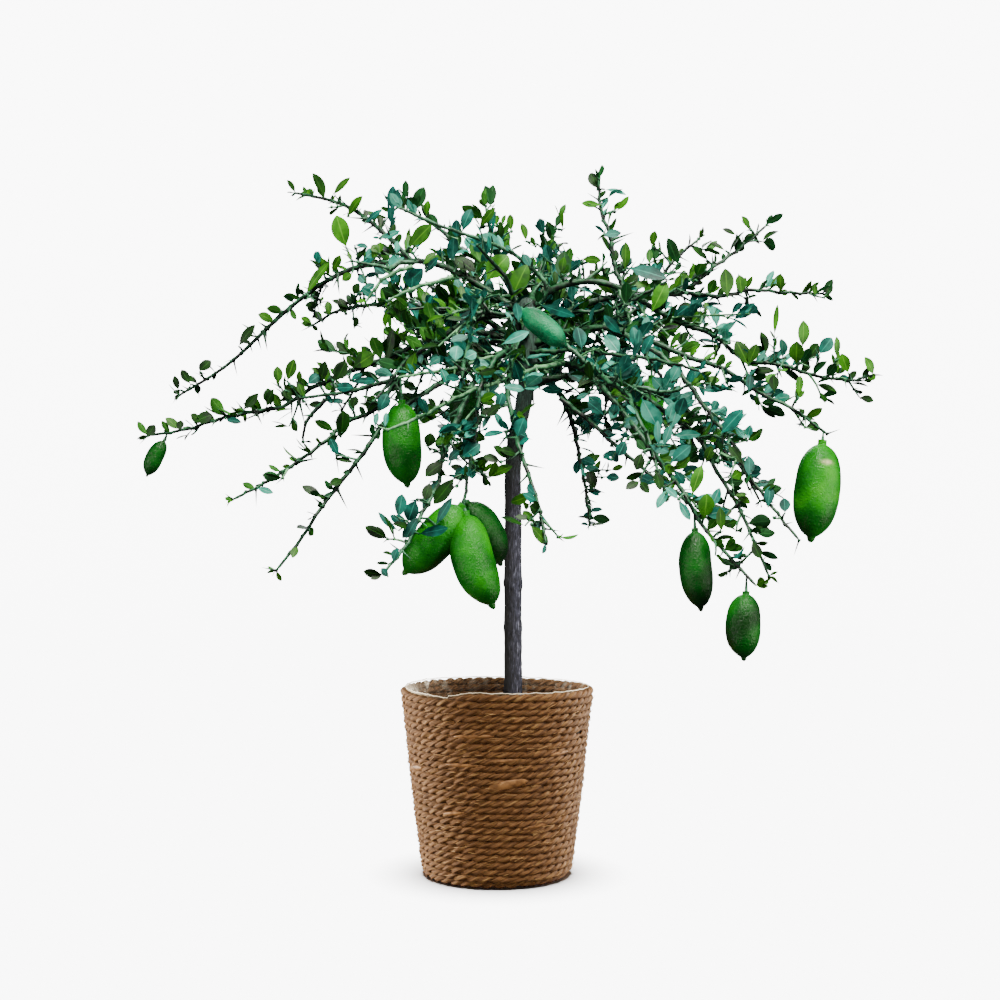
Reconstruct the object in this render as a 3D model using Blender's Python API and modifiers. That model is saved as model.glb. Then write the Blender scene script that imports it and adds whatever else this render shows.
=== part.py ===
"""Finger lime tree grown as a small standard, in a basket of coiled seagrass rope.

Units are metres, +Z is up. The origin is the centre of the basket's flat underside.
The trunk stands in the potting soil and forks into boughs. Each bough ends where it
enters one or two masses of foliage. A mass is one long thorny shoot that arches over
and hangs, with its side twigs, leaves and fruit grown on to it by a seeded rule.
"""

import math
import random
from collections import namedtuple

import bmesh
import bpy
import numpy as np
from mathutils import Matrix, Vector
from mathutils.geometry import interpolate_bezier

# Clearance between pieces that meet face to face
GAP = 0.0003
WELD = 0.00001

# Basket: coiled rope, a little wider at the rim than a straight taper
BASKET_HEIGHT = 0.182
BASKET_FOOT_RADIUS = 0.0690
BASKET_LOW_RADIUS = 0.0755
BASKET_TOP_RADIUS = 0.0925
BASKET_BELLY = 0.0018
BASKET_RIM_FLARE = 0.0035
BASKET_RIM_BAND = 0.022
BASKET_FOOT_ROUND = 0.010
FOOT_ROUND_MIDDLE = (0.0015, 0.0035)
RIM_ROUND = 0.7
FLOOR_INSET = 0.0026
ROPE = 0.0066
BASKET_SIDES = 30
WALL_RINGS = 4

# Lining and soil
LINING = 0.0007
LINING_PROUD = 0.0012
SOIL_BELOW_RIM = 0.028

# Trunk: upright, then a bend to the right under its knobbly head
TRUNK_FOOT = (0.016, 0.0)
TRUNK_HEAD = (0.030, 0.0)
TRUNK_BEND = (0.400, 0.500)
TRUNK_TOP = 0.572
TRUNK_RADIUS = 0.0092
TRUNK_NECK_RADIUS = 0.0076
TRUNK_HEAD_RADIUS = 0.0112
TRUNK_HEAD_HEIGHT = 0.530
TRUNK_HEAD_SPREAD = 0.034
TRUNK_FLARE = 0.0040
TRUNK_FLARE_HEIGHT = 0.012
TRUNK_FLARE_RINGS = (0.0, 0.003, 0.008, 0.016)
TRUNK_KNOTS = ((0.288, 0.0011), (0.244, 0.0005), (0.430, 0.0008))
TRUNK_KNOT_SPREAD = 0.006
TRUNK_SIDES = 12
TRUNK_RINGS = 15

# Limbs
BOUGH_ROOT_RADIUS = 0.0038
BOUGH_TIP_RADIUS = 0.0025
BOUGH_SIDES = 5
BOUGH_STEPS = 6
STEM_ROOT_RADIUS = 0.0022
STEM_TIP_RADIUS = 0.0010
STEM_SIDES = 4
STEM_STEP = 0.036
STRAIGHT_START = 0.005
ARCH_PULL = 0.38
WANDER = 0.02
WANDER_WAVES = 3
WANDER_TURNS = (1.5, 3.5)
NEAR_STEP = 0.003

# Twigs and leaves, a little larger than life as they are fewer
TURN = 137.5
BARE_START = 0.022
TWIG_STEP = 0.039
TWIG_STEP_SPREAD = 0.15
TWIG_LENGTH = 0.056
TWIG_SHORTENING = 0.55
TWIG_LENGTH_SHARES = (0.75, 1.2)
TWIG_ANGLE = 52
TWIG_ANGLE_SPREAD = 12
TWIG_TURN_SPREAD = 25
TWIG_LIFT = 0.12
TWIG_RADIUS = 0.0010
TWIG_TAPER = 0.6
TWIG_SIDES = 3
TWIG_TRIES = (1, 0.7, 0.45)
TWIG_PROBES = (0.2, 0.35, 0.5, 0.65, 0.8, 1)
TWIG_LEAVES = (0.42, 0.72, 0.96)
LEAF_STEP = 0.038
LAST_LEAF = 0.008
LEAF_LENGTH = 0.036
LEAF_SHORTENING = 0.42
LEAF_LENGTH_SPREAD = 0.2
LEAF_WIDTH = 0.46
LEAF_THICKNESS = 0.05
LEAF_ANGLE = 48
LEAF_ANGLE_SPREAD = 14
LEAF_TURN_SPREAD = 20
LEAF_LIFT = 0.55
LEAF_LIFT_LEAST = 0.22
LEAF_TILT = 0.6
LEAF_FIRST_PROBE = 0.25

# Under this, what is left of a unit vector square to another is too short to use
NEARLY_ALONG = 0.15

# Room that a leaf or twig leaves to what isn't its own
SPACE_MARGIN = 0.0022
LIMB_MARGIN = 0.0020

FRUIT_SIDES = 8
STALK_RADIUS = 0.0011
STALK_SUNK = 0.1
FRUIT_CORE = (0.2, 0.8)

# A bough leaves the trunk at the height root. Its far end is given by a bearing in
# degrees from +X towards +Y and a reach, both from the trunk's head, and a height.
# climb and fall are the slopes in degrees at which it starts up and ends down.
Bough = namedtuple("Bough", "root bearing reach height climb fall")
BOUGHS = {
    "upper_left": Bough(0.556, 172, 0.135, 0.613, 30, 8),
    "mid_left": Bough(0.526, 186, 0.105, 0.528, 18, 30),
    "low_left": Bough(0.496, 203, 0.090, 0.486, 12, 34),
    "top_left": Bough(0.546, 126, 0.078, 0.622, 55, -15),
    "right_arch": Bough(0.560, -6, 0.108, 0.573, 55, 38),
    "upper_right": Bough(0.540, 16, 0.135, 0.584, 28, -2),
    "back_right": Bough(0.515, 40, 0.120, 0.565, 32, 2),
    "mid_right": Bough(0.524, -20, 0.125, 0.526, 22, 28),
    "low_right": Bough(0.488, 2, 0.110, 0.480, 12, 36),
    "front_right": Bough(0.502, -46, 0.100, 0.478, 10, 48),
    "front": Bough(0.534, -102, 0.075, 0.504, 8, 50),
    "front_left": Bough(0.512, -128, 0.085, 0.482, 12, 60),
    "upper_front_left": Bough(0.550, -152, 0.085, 0.536, 16, 30),
    "back": Bough(0.550, 80, 0.095, 0.600, 45, -2),
    "hanging_back": Bough(0.480, 64, 0.080, 0.485, 15, 35),
    "back_left": Bough(0.522, 150, 0.110, 0.575, 34, 0),
    "low_back_left": Bough(0.500, 112, 0.090, 0.540, 30, 8),
}

# A mass of foliage follows one stem. The stem leaves its bough at a share of the bough's
# length, and where that is 1 it goes straight on from the bough's tip. The stem's own
# tip is given as a bough's is.
Mass = namedtuple("Mass", "bough at bearing reach height climb fall")
MASSES = {
    "rising_left": Mass("upper_left", 0.88, 165, 0.250, 0.694, 44, -6),
    "high_left": Mass("upper_left", 1, 173, 0.360, 0.480, 0, 24),
    "long_left": Mass("mid_left", 1, 184, 0.374, 0.434, 0, 8),
    "sloping_left": Mass("mid_left", 0.75, 196, 0.291, 0.370, -44, 27),
    "hanging_left": Mass("low_left", 1, 208, 0.263, 0.304, 0, 48),
    "upright_left": Mass("top_left", 1, 141, 0.190, 0.696, 0, -18),
    "upright_back": Mass("top_left", 0.7, 108, 0.138, 0.694, 66, -62),
    "long_right": Mass("right_arch", 1, -6, 0.340, 0.485, 0, 3),
    "leader": Mass("right_arch", 0.9, 15, 0.076, 0.698, 64, -84),
    "rising_right": Mass("upper_right", 1, 14, 0.260, 0.660, 0, -36),
    "level_right": Mass("upper_right", 0.7, 6, 0.305, 0.583, 0, 4),
    "upper_back_right": Mass("back_right", 1, 30, 0.216, 0.654, 0, -28),
    "low_back_right": Mass("back_right", 0.7, 46, 0.285, 0.430, 4, 50),
    "fruiting_right": Mass("mid_right", 1, -16, 0.294, 0.432, 0, 38),
    "drooping_right": Mass("mid_right", 0.7, -29, 0.280, 0.332, -20, 46),
    "hanging_right": Mass("low_right", 1, -10, 0.238, 0.296, 0, 66),
    "low_right": Mass("low_right", 0.7, 22, 0.270, 0.372, -8, 56),
    "low_front_right": Mass("front_right", 1, -41, 0.264, 0.292, 0, 42),
    "front_right": Mass("front_right", 0.7, -66, 0.262, 0.386, -6, 58),
    "pale_front_left": Mass("front_right", 0.5, -133, 0.189, 0.432, -10, 22),
    "front": Mass("front", 0.75, -115, 0.146, 0.352, -10, 72),
    "hanging_front": Mass("front", 1, -87, 0.228, 0.330, 0, 54),
    "out_front": Mass("upper_front_left", 0.5, -104, 0.246, 0.468, 16, 40),
    "low_front_left": Mass("front_left", 1, -126, 0.222, 0.302, 0, 30),
    "front_left": Mass("upper_front_left", 1, -148, 0.172, 0.462, 0, 48),
    "upper_front": Mass("front", 0.4, -112, 0.128, 0.604, 74, -10),
    "back": Mass("back", 1, 84, 0.300, 0.545, 0, 44),
    "rising_back": Mass("back", 0.7, 75, 0.145, 0.684, 62, -60),
    "hanging_back": Mass("hanging_back", 1, 62, 0.150, 0.346, 0, 78),
    "far_left": Mass("back_left", 1, 148, 0.275, 0.566, 0, 22),
    "back_left": Mass("back_left", 0.7, 134, 0.300, 0.478, 12, 44),
    "low_back_left": Mass("low_back_left", 1, 110, 0.262, 0.430, 0, 54),
}

# A fruit hangs from the point at a share along a mass's stem. It leans from the
# vertical, by an angle in degrees, towards a bearing.
Fruit = namedtuple("Fruit", "mass along drop length width towards lean")
FRUITS = (
    Fruit("front_left", 0.66, 0.030, 0.084, 0.037, 0, 2),
    Fruit("front", 0.95, 0.006, 0.080, 0.038, 172, 39),
    Fruit("front", 0.97, 0.008, 0.092, 0.042, -25, 17),
    Fruit("front", 0.93, 0.008, 0.070, 0.032, 62, 46),
    Fruit("upper_front", 0.26, 0.010, 0.056, 0.031, -10, 52),
    Fruit("low_front_right", 0.64, 0.016, 0.076, 0.030, 0, 4),
    Fruit("low_front_right", 0.95, 0.014, 0.062, 0.031, 180, 2),
    Fruit("fruiting_right", 0.98, 0.008, 0.098, 0.043, 180, 7),
    Fruit("long_left", 0.91, 0.006, 0.040, 0.019, 180, 22),
    Fruit("back", 0.35, 0.010, 0.078, 0.035, 90, 6),
    Fruit("low_back_left", 0.42, 0.010, 0.070, 0.032, 90, 8),
    Fruit("low_back_right", 0.50, 0.012, 0.084, 0.038, 180, 5),
)

# Radius of a fruit, as a share of half its width, at shares of its length from the top
FRUIT_PROFILE = (
    (0.0, 0.24),
    (0.12, 0.70),
    (0.34, 0.99),
    (0.64, 0.99),
    (0.88, 0.50),
)

BARK = ("bark", (0.070, 0.062, 0.068), 0.85)
LEAF = ("leaf", (0.045, 0.19, 0.06), 0.45)
SEAGRASS = ("seagrass", (0.36, 0.22, 0.10), 0.8)
FILM = ("lining_film", (0.75, 0.72, 0.66), 0.35)
SOIL = ("potting_soil", (0.045, 0.030, 0.020), 0.95)


def clear_scene():
    for old in list(bpy.data.objects):
        bpy.data.objects.remove(old)


def new_collection(name):
    made = bpy.data.collections.new(name)
    bpy.context.scene.collection.children.link(made)
    return made


def material(look):
    name, colour, roughness = look
    found = bpy.data.materials.get(name)
    if found:
        return found
    made = bpy.data.materials.new(name)
    made.use_nodes = True
    shader = made.node_tree.nodes["Principled BSDF"]
    shader.inputs["Base Color"].default_value = (*colour, 1)
    shader.inputs["Roughness"].default_value = roughness
    shader.inputs["Metallic"].default_value = 0
    return made


def mesh_object(name, mesh, look, collection):
    made = bpy.data.objects.new(name, mesh)
    mesh.materials.clear()
    mesh.materials.append(material(look))
    collection.objects.link(made)
    return made


def smooth(share):
    share = min(1, max(0, share))
    return share * share * (3 - 2 * share)


def bump(distance, spread):
    return math.exp(-((distance / spread) ** 2))


def heading(bearing, climb):
    """The unit vector along a bearing that climbs by an angle, both in degrees."""
    turn, rise = math.radians(bearing), math.radians(climb)
    return Vector((math.cos(turn) * math.cos(rise), math.sin(turn) * math.cos(rise), math.sin(rise)))


def from_head(bearing, reach, height):
    """The point at a bearing and reach from the trunk's head, at a height."""
    return Vector((*TRUNK_HEAD, height)) + heading(bearing, 0) * reach


def arch(start, start_way, end, end_way, steps):
    """Points along a curve that leaves start and reaches end in the given ways."""
    pull = (end - start).length * ARCH_PULL
    return interpolate_bezier(start, start + start_way * pull, end - end_way * pull, end, steps + 1)


def wander(points, seed):
    """The points swayed a little to the sides, more in the middle than at the ends."""
    rng = random.Random(seed)
    waves = [(rng.uniform(0, math.tau), rng.uniform(*WANDER_TURNS)) for _ in range(WANDER_WAVES)]
    last = len(points) - 1
    swayed = []
    most = WANDER * lengths_along(points)[-1]
    for i, point in enumerate(points):
        share = i / last
        size = most * math.sin(math.pi * share) ** 2
        sway = Vector([size * math.sin(phase + math.tau * turns * share) for phase, turns in waves])
        swayed.append(point + sway)
    return swayed


def lengths_along(points):
    run = [0.0]
    for a, b in zip(points, points[1:]):
        run.append(run[-1] + (b - a).length)
    return run


def point_along(points, distance):
    """The point at a distance along the line, and the line's way there."""
    run = lengths_along(points)
    for i in range(len(points) - 1):
        if distance <= run[i + 1] or i == len(points) - 2:
            way = (points[i + 1] - points[i]).normalized()
            return points[i] + way * (distance - run[i]), way


def trunk_axis(height):
    bend = smooth((height - TRUNK_BEND[0]) / (TRUNK_BEND[1] - TRUNK_BEND[0]))
    foot, head = Vector((*TRUNK_FOOT, height)), Vector((*TRUNK_HEAD, height))
    return foot.lerp(head, bend)


def trunk_radius(height):
    foot = BASKET_HEIGHT - SOIL_BELOW_RIM
    share = (height - foot) / (TRUNK_TOP - foot)
    radius = TRUNK_RADIUS + (TRUNK_NECK_RADIUS - TRUNK_RADIUS) * share
    radius += TRUNK_FLARE * math.exp(-(height - foot) / TRUNK_FLARE_HEIGHT)
    swell = TRUNK_HEAD_RADIUS - TRUNK_NECK_RADIUS
    radius += swell * bump(height - TRUNK_HEAD_HEIGHT, TRUNK_HEAD_SPREAD)
    for knot, size in TRUNK_KNOTS:
        radius += size * bump(height - knot, TRUNK_KNOT_SPREAD)
    return radius


def ring(sides):
    """A closed outline of unit radius that a limb's curve is swept with."""
    name = f"ring_{sides}"
    found = bpy.data.objects.get(name)
    if found:
        return found
    curve = bpy.data.curves.new(name, "CURVE")
    spline = curve.splines.new("POLY")
    spline.points.add(sides - 1)
    for i, point in enumerate(spline.points):
        turn = math.tau * i / sides
        point.co = (math.cos(turn), math.sin(turn), 0, 1)
    spline.use_cyclic_u = True
    made = bpy.data.objects.new(name, curve)
    made.hide_render = True
    made.display_type = "WIRE"
    CUTTERS.objects.link(made)
    return made


def limb(name, points, radii, sides, look, collection):
    """A tapering tube along points, with flat ends, as one closed mesh."""
    curve = bpy.data.curves.new(name, "CURVE")
    curve.dimensions = "3D"
    curve.bevel_mode = "OBJECT"
    curve.bevel_object = ring(sides)
    curve.use_fill_caps = True
    spline = curve.splines.new("POLY")
    spline.points.add(len(points) - 1)
    for spot, point, radius in zip(spline.points, points, radii):
        spot.co = (*point, 1)
        spot.radius = radius
    swept = bpy.data.objects.new(name + "_curve", curve)
    collection.objects.link(swept)
    graph = bpy.context.evaluated_depsgraph_get()
    mesh = bpy.data.meshes.new_from_object(swept.evaluated_get(graph))
    bpy.data.objects.remove(swept)
    tidy = bmesh.new()
    tidy.from_mesh(mesh)
    bmesh.ops.remove_doubles(tidy, verts=tidy.verts, dist=WELD)
    bmesh.ops.recalc_face_normals(tidy, faces=tidy.faces)
    tidy.to_mesh(mesh)
    tidy.free()
    made = mesh_object(name, mesh, look, collection)
    mesh.shade_smooth()
    return made


def apply_modifiers(obj):
    """Turns an object's modifiers into plain mesh."""
    graph = bpy.context.evaluated_depsgraph_get()
    mesh = bpy.data.meshes.new_from_object(obj.evaluated_get(graph))
    look = obj.data.materials[0]
    obj.modifiers.clear()
    obj.data = mesh
    mesh.materials.clear()
    mesh.materials.append(look)


def cut_by(obj, cutter):
    """Takes the cutter's space out of obj, and removes the cutter."""
    cut = obj.modifiers.new("cut", "BOOLEAN")
    cut.operation = "DIFFERENCE"
    cut.object = cutter
    apply_modifiers(obj)
    bpy.data.objects.remove(cutter)


def turned(name, profile, sides, look, collection, ring_shaped=False):
    """A solid turned about +Z from a profile that ends on the axis, or from a closed one."""
    mesh = bpy.data.meshes.new(name)
    edges = [(i, i + 1) for i in range(len(profile) - 1)]
    if ring_shaped:
        edges.append((len(profile) - 1, 0))
    mesh.from_pydata([(radius, 0, height) for radius, height in profile], edges, [])
    made = mesh_object(name, mesh, look, collection)
    turn = made.modifiers.new("turn", "SCREW")
    turn.steps = turn.render_steps = sides
    turn.use_merge_vertices = True
    turn.merge_threshold = WELD
    turn.use_smooth_shade = True
    apply_modifiers(made)
    return made


def basket_radius(height):
    """The outside of the basket's wall."""
    share = height / BASKET_HEIGHT
    radius = BASKET_LOW_RADIUS + (BASKET_TOP_RADIUS - BASKET_LOW_RADIUS) * share
    radius += BASKET_BELLY * math.sin(math.pi * share)
    radius += BASKET_RIM_FLARE * smooth((height - BASKET_HEIGHT + BASKET_RIM_BAND) / BASKET_RIM_BAND)
    return radius


def wall_heights(top):
    """Evenly spaced heights from the top of the rounded foot."""
    rise = (top - BASKET_FOOT_ROUND) / WALL_RINGS
    return [BASKET_FOOT_ROUND + rise * i for i in range(WALL_RINGS + 1)]


def make_basket():
    """The coiled wall and base, with a rounded rim and a rounded foot."""
    half = ROPE / 2
    heights = wall_heights(BASKET_HEIGHT - half)
    inner = [(basket_radius(h) - ROPE, h) for h in heights]
    outer = [(basket_radius(h), h) for h in reversed(heights)]
    crown = basket_radius(BASKET_HEIGHT) - half
    side = half * RIM_ROUND
    shoulder = BASKET_HEIGHT - half * (1 - RIM_ROUND)
    rim = [(crown - side, shoulder), (crown, BASKET_HEIGHT), (crown + side, shoulder)]
    inset, height = FOOT_ROUND_MIDDLE
    foot = [(basket_radius(0) - inset, height), (BASKET_FOOT_RADIUS, 0), (0, 0)]
    floor = [(0, ROPE), (BASKET_FOOT_RADIUS - FLOOR_INSET, ROPE)]
    return turned("basket", floor + inner + rim + outer + foot, BASKET_SIDES, SEAGRASS, PLANT)


def make_lining():
    """The film that lines the basket, from the soil's edge to just above the rim."""
    low = BASKET_HEIGHT - SOIL_BELOW_RIM + GAP
    heights = [low, BASKET_HEIGHT - BASKET_RIM_BAND / 2, BASKET_HEIGHT + LINING_PROUD]
    outer = [(basket_radius(min(h, BASKET_HEIGHT)) - ROPE - 2 * GAP, h) for h in heights]
    inner = [(radius - LINING, height) for radius, height in outer]
    profile = outer[::-1] + inner
    return turned("lining", profile, BASKET_SIDES, FILM, PLANT, ring_shaped=True)


def make_soil():
    """The root ball's potting soil, with a flat top well under the rim."""
    low = ROPE + GAP
    top = BASKET_HEIGHT - SOIL_BELOW_RIM
    wall = [(basket_radius(h) - ROPE - 2 * GAP, h) for h in reversed(wall_heights(top))]
    foot = BASKET_FOOT_RADIUS - FLOOR_INSET - 2 * GAP
    profile = [(0, top)] + wall + [(foot, low), (0, low)]
    return turned("soil", profile, BASKET_SIDES, SOIL, PLANT)


def trunk_line():
    """The trunk's axis and its radii, with rings close together in the root flare."""
    foot = BASKET_HEIGHT - SOIL_BELOW_RIM + GAP
    heights = [foot + rise for rise in TRUNK_FLARE_RINGS]
    rise = (TRUNK_TOP - heights[-1]) / TRUNK_RINGS
    heights += [heights[-1] + rise * (i + 1) for i in range(TRUNK_RINGS)]
    return [trunk_axis(h) for h in heights], [trunk_radius(h) for h in heights]


def make_trunk():
    points, radii = trunk_line()
    return limb("trunk", points, radii, TRUNK_SIDES, BARK, PLANT)


def trunk_cutter():
    points, radii = trunk_line()
    radii = [r + GAP for r in radii]
    points[-1] = points[-1] + Vector((0, 0, GAP))
    return limb("trunk_cutter", points, radii, TRUNK_SIDES, BARK, CUTTERS)


def bough_line(name):
    bough = BOUGHS[name]
    start = trunk_axis(bough.root)
    end = from_head(bough.bearing, bough.reach, bough.height)
    start_way, end_way = heading(bough.bearing, bough.climb), heading(bough.bearing, -bough.fall)
    return arch(start, start_way, end, end_way, BOUGH_STEPS)


def taper(points, first, last):
    run = lengths_along(points)
    return [first + (last - first) * distance / run[-1] for distance in run]


def make_bough(name):
    """A bough, hollowed at its root where it sits on the trunk."""
    points = bough_line(name)
    radii = taper(points, BOUGH_ROOT_RADIUS, BOUGH_TIP_RADIUS)
    made = limb("bough_" + name, points, radii, BOUGH_SIDES, BARK, PLANT)
    cut_by(made, trunk_cutter())
    return made


def stem_line(name):
    """The line of a mass's stem, from its bough to its tip."""
    mass = MASSES[name]
    limb_points = bough_line(mass.bough)
    end = from_head(mass.bearing, mass.reach, mass.height)
    start, way = point_along(limb_points, lengths_along(limb_points)[-1] * mass.at)
    first = []
    if mass.at == 1:
        first = [start + way * GAP]
        start = start + way * STRAIGHT_START
    across = end - start
    bearing = math.degrees(math.atan2(across.y, across.x))
    start_way = way if first else heading(bearing, mass.climb)
    steps = max(4, round(across.length / STEM_STEP))
    points = arch(start, start_way, end, heading(bearing, -mass.fall), steps)
    return first + wander(points, name)


def dense(points):
    """Points close together along the line, for measuring how near things are."""
    run = lengths_along(points)[-1]
    count = max(2, int(run / NEAR_STEP))
    return np.array([point_along(points, run * i / count)[0] for i in range(count + 1)])


def fruit_axis(fruit):
    """The top and bottom of a fruit, and the point on the stem that it hangs from."""
    line = STEM_LINES[fruit.mass]
    hung, _ = point_along(line, lengths_along(line)[-1] * fruit.along)
    way = heading(fruit.towards, fruit.lean - 90)
    top = hung + way * fruit.drop
    return hung, top, top + way * fruit.length


def nearest(points, others):
    """How near each of the points comes to any of the others."""
    return np.sqrt(((points[:, None, :] - others[None, :, :]) ** 2).sum(-1)).min(1)


def has_room(points, name):
    """Whether the points lie in the mass's own space, clear of limbs and fruit."""
    spots = np.array([tuple(p) for p in points])
    own = nearest(spots, DENSE_STEMS[name])
    for other, stem in DENSE_STEMS.items():
        if other != name and (nearest(spots, stem) < own + SPACE_MARGIN).any():
            return False
    for line, radius in OBSTACLES:
        if (nearest(spots, line) < radius + LIMB_MARGIN).any():
            return False
    return True


def either_way(rng, spread):
    return rng.uniform(-spread, spread)


def square_to(way, turn):
    """The unit vector square to way at an angle round it, in degrees from the side."""
    side = way.cross(Vector((0, 0, 1)))
    if side.length < NEARLY_ALONG:
        side = way.cross(Vector((1, 0, 0)))
    side.normalize()
    return (Matrix.Rotation(math.radians(turn), 3, way) @ side).normalized()


def leaf_corners(base, way, face, length):
    """The middle, tip and sides of a leaf, and a point near its root."""
    side = face.cross(way).normalized() * length * LEAF_WIDTH / 2
    middle = base + way * length / 2
    root = base + way * length * LEAF_FIRST_PROBE
    return [root, middle, base + way * length, middle + side, middle - side]


def leaf_solid(base, way, face, length):
    """A leaf as a flat double pyramid of eight faces, its root sunk in its twig."""
    side = face.cross(way).normalized()
    frame = Matrix((way, side, face)).transposed().to_4x4()
    frame.translation = base + way * length / 2
    size = Matrix.Diagonal((length / 2, length * LEAF_WIDTH / 2, length * LEAF_THICKNESS / 2, 1))
    shape = bmesh.new()
    bmesh.ops.create_uvsphere(shape, u_segments=4, v_segments=2, radius=1, matrix=frame @ size)
    mesh = bpy.data.meshes.new("leaf")
    shape.to_mesh(mesh)
    shape.free()
    return mesh


def twig_solid(start, end, first, last):
    """A straight tapering twig of three sides."""
    way = end - start
    frame = way.to_track_quat("Z", "Y").to_matrix().to_4x4()
    frame.translation = (start + end) / 2
    shape = bmesh.new()
    sizes = {"radius1": first, "radius2": last, "depth": way.length}
    bmesh.ops.create_cone(shape, cap_ends=True, segments=TWIG_SIDES, matrix=frame, **sizes)
    mesh = bpy.data.meshes.new("twig")
    shape.to_mesh(mesh)
    shape.free()
    return mesh


def leaf_on(line, distance, turn, length, rng):
    """Where a leaf grows from a shoot: its base, way, face and size."""
    base, way = point_along(line, distance)
    out = square_to(way, turn + either_way(rng, LEAF_TURN_SPREAD))
    angle = math.radians(LEAF_ANGLE + either_way(rng, LEAF_ANGLE_SPREAD))
    lift = Vector((0, 0, rng.uniform(LEAF_LIFT_LEAST, LEAF_LIFT)))
    leaf_way = (way * math.cos(angle) + out * math.sin(angle) + lift).normalized()
    tilt = Vector((either_way(rng, LEAF_TILT), either_way(rng, LEAF_TILT), 1))
    face = tilt - leaf_way * tilt.dot(leaf_way)
    if face.length < NEARLY_ALONG:
        face = out - leaf_way * out.dot(leaf_way)
    return base, leaf_way, face.normalized(), length * (1 + either_way(rng, LEAF_LENGTH_SPREAD))


def leaf_length(share):
    """How long leaves are at a share of the way along a mass's stem."""
    return LEAF_LENGTH * (1 - LEAF_SHORTENING * share)


def grow_leaves(name, line, places, rng, meshes):
    """Leaves along a shoot, each turned on from the last, at (distance, length) places."""
    turn = rng.uniform(0, 360)
    for distance, length in places:
        base, way, face, size = leaf_on(line, distance, turn, length, rng)
        if has_room(leaf_corners(base, way, face, size), name):
            meshes.append(leaf_solid(base, way, face, size))
        turn += TURN


def grow_twigs(name, line, rng, meshes):
    """Side twigs along a stem, shorter towards its tip, with leaves on them."""
    run = lengths_along(line)[-1]
    turn = rng.uniform(0, 360)
    distance = BARE_START
    while distance < run - TWIG_STEP / 2:
        base, way = point_along(line, distance)
        out = square_to(way, turn + either_way(rng, TWIG_TURN_SPREAD))
        angle = math.radians(TWIG_ANGLE + either_way(rng, TWIG_ANGLE_SPREAD))
        lift = Vector((0, 0, TWIG_LIFT))
        twig_way = (way * math.cos(angle) + out * math.sin(angle) + lift).normalized()
        full = TWIG_LENGTH * (1 - TWIG_SHORTENING * distance / run)
        full *= rng.uniform(*TWIG_LENGTH_SHARES)
        for share in TWIG_TRIES:
            tip = base + twig_way * full * share
            if has_room([base.lerp(tip, s) for s in TWIG_PROBES], name):
                meshes.append(twig_solid(base, tip, TWIG_RADIUS, TWIG_RADIUS * TWIG_TAPER))
                size = leaf_length(distance / run)
                places = [(full * share * s, size) for s in TWIG_LEAVES]
                grow_leaves(name, [base, tip], places, rng, meshes)
                break
        turn += TURN
        distance += TWIG_STEP * (1 + either_way(rng, TWIG_STEP_SPREAD))


def fruit_solid(fruit):
    """A long fruit with a short neck above and a nipple below."""
    hung, top, bottom = fruit_axis(fruit)
    half = fruit.width / 2
    profile = [(0, 0)] + [(half * r, fruit.length * s) for s, r in FRUIT_PROFILE] + [(0, fruit.length)]
    made = turned("fruit_body", [(r, -s) for r, s in profile], FRUIT_SIDES, LEAF, CUTTERS)
    mesh = made.data
    frame = (top - bottom).to_track_quat("Z", "Y").to_matrix().to_4x4()
    frame.translation = top
    mesh.transform(frame)
    bpy.data.objects.remove(made)
    stalk = twig_solid(hung, top.lerp(bottom, STALK_SUNK), STALK_RADIUS, STALK_RADIUS)
    return [mesh, stalk]


def keep_largest_body(obj):
    """Drops the loose scraps and the sealed hollows that a union leaves."""
    shape = bmesh.new()
    shape.from_mesh(obj.data)
    bodies = []
    unseen = set(shape.faces)
    while unseen:
        body, front = [], [unseen.pop()]
        while front:
            face = front.pop()
            body.append(face)
            near = {other for edge in face.edges for other in edge.link_faces} & unseen
            unseen -= near
            front += near
        bodies.append(body)
    bodies.sort(key=len)
    extra = [face for body in bodies[:-1] for face in body]
    bmesh.ops.delete(shape, geom=extra, context="FACES")
    shape.to_mesh(obj.data)
    shape.free()


def join(obj, meshes):
    """One union of obj with all the meshes, which are then removed."""
    extras = new_collection("extras")
    for i, mesh in enumerate(meshes):
        extras.objects.link(bpy.data.objects.new(f"extra_{i}", mesh))
    union = obj.modifiers.new("union", "BOOLEAN")
    union.operation = "UNION"
    union.operand_type = "COLLECTION"
    union.solver = "MANIFOLD"
    union.collection = extras
    apply_modifiers(obj)
    for extra in list(extras.objects):
        bpy.data.objects.remove(extra)
    bpy.data.collections.remove(extras)
    keep_largest_body(obj)


def make_mass(name):
    """One mass of foliage: its stem, twigs, leaves and fruit as one solid."""
    rng = random.Random(name)
    line = STEM_LINES[name]
    mass = MASSES[name]
    radii = taper(line, STEM_ROOT_RADIUS, STEM_TIP_RADIUS)
    stem = limb("foliage_" + name, line, radii, STEM_SIDES, LEAF, PLANT)
    if mass.at < 1:
        bough = bough_line(mass.bough)
        radii = [r + GAP for r in taper(bough, BOUGH_ROOT_RADIUS, BOUGH_TIP_RADIUS)]
        cut_by(stem, limb("bough_cutter", bough, radii, BOUGH_SIDES, BARK, CUTTERS))
    meshes = []
    for fruit in FRUITS:
        if fruit.mass == name:
            meshes += fruit_solid(fruit)
    run = lengths_along(line)[-1]
    count = int((run - BARE_START) / LEAF_STEP)
    distances = [run - LAST_LEAF - LEAF_STEP * i for i in range(count)]
    grow_leaves(name, line, [(d, leaf_length(d / run)) for d in distances], rng, meshes)
    grow_twigs(name, line, rng, meshes)
    join(stem, meshes)
    return stem


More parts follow.
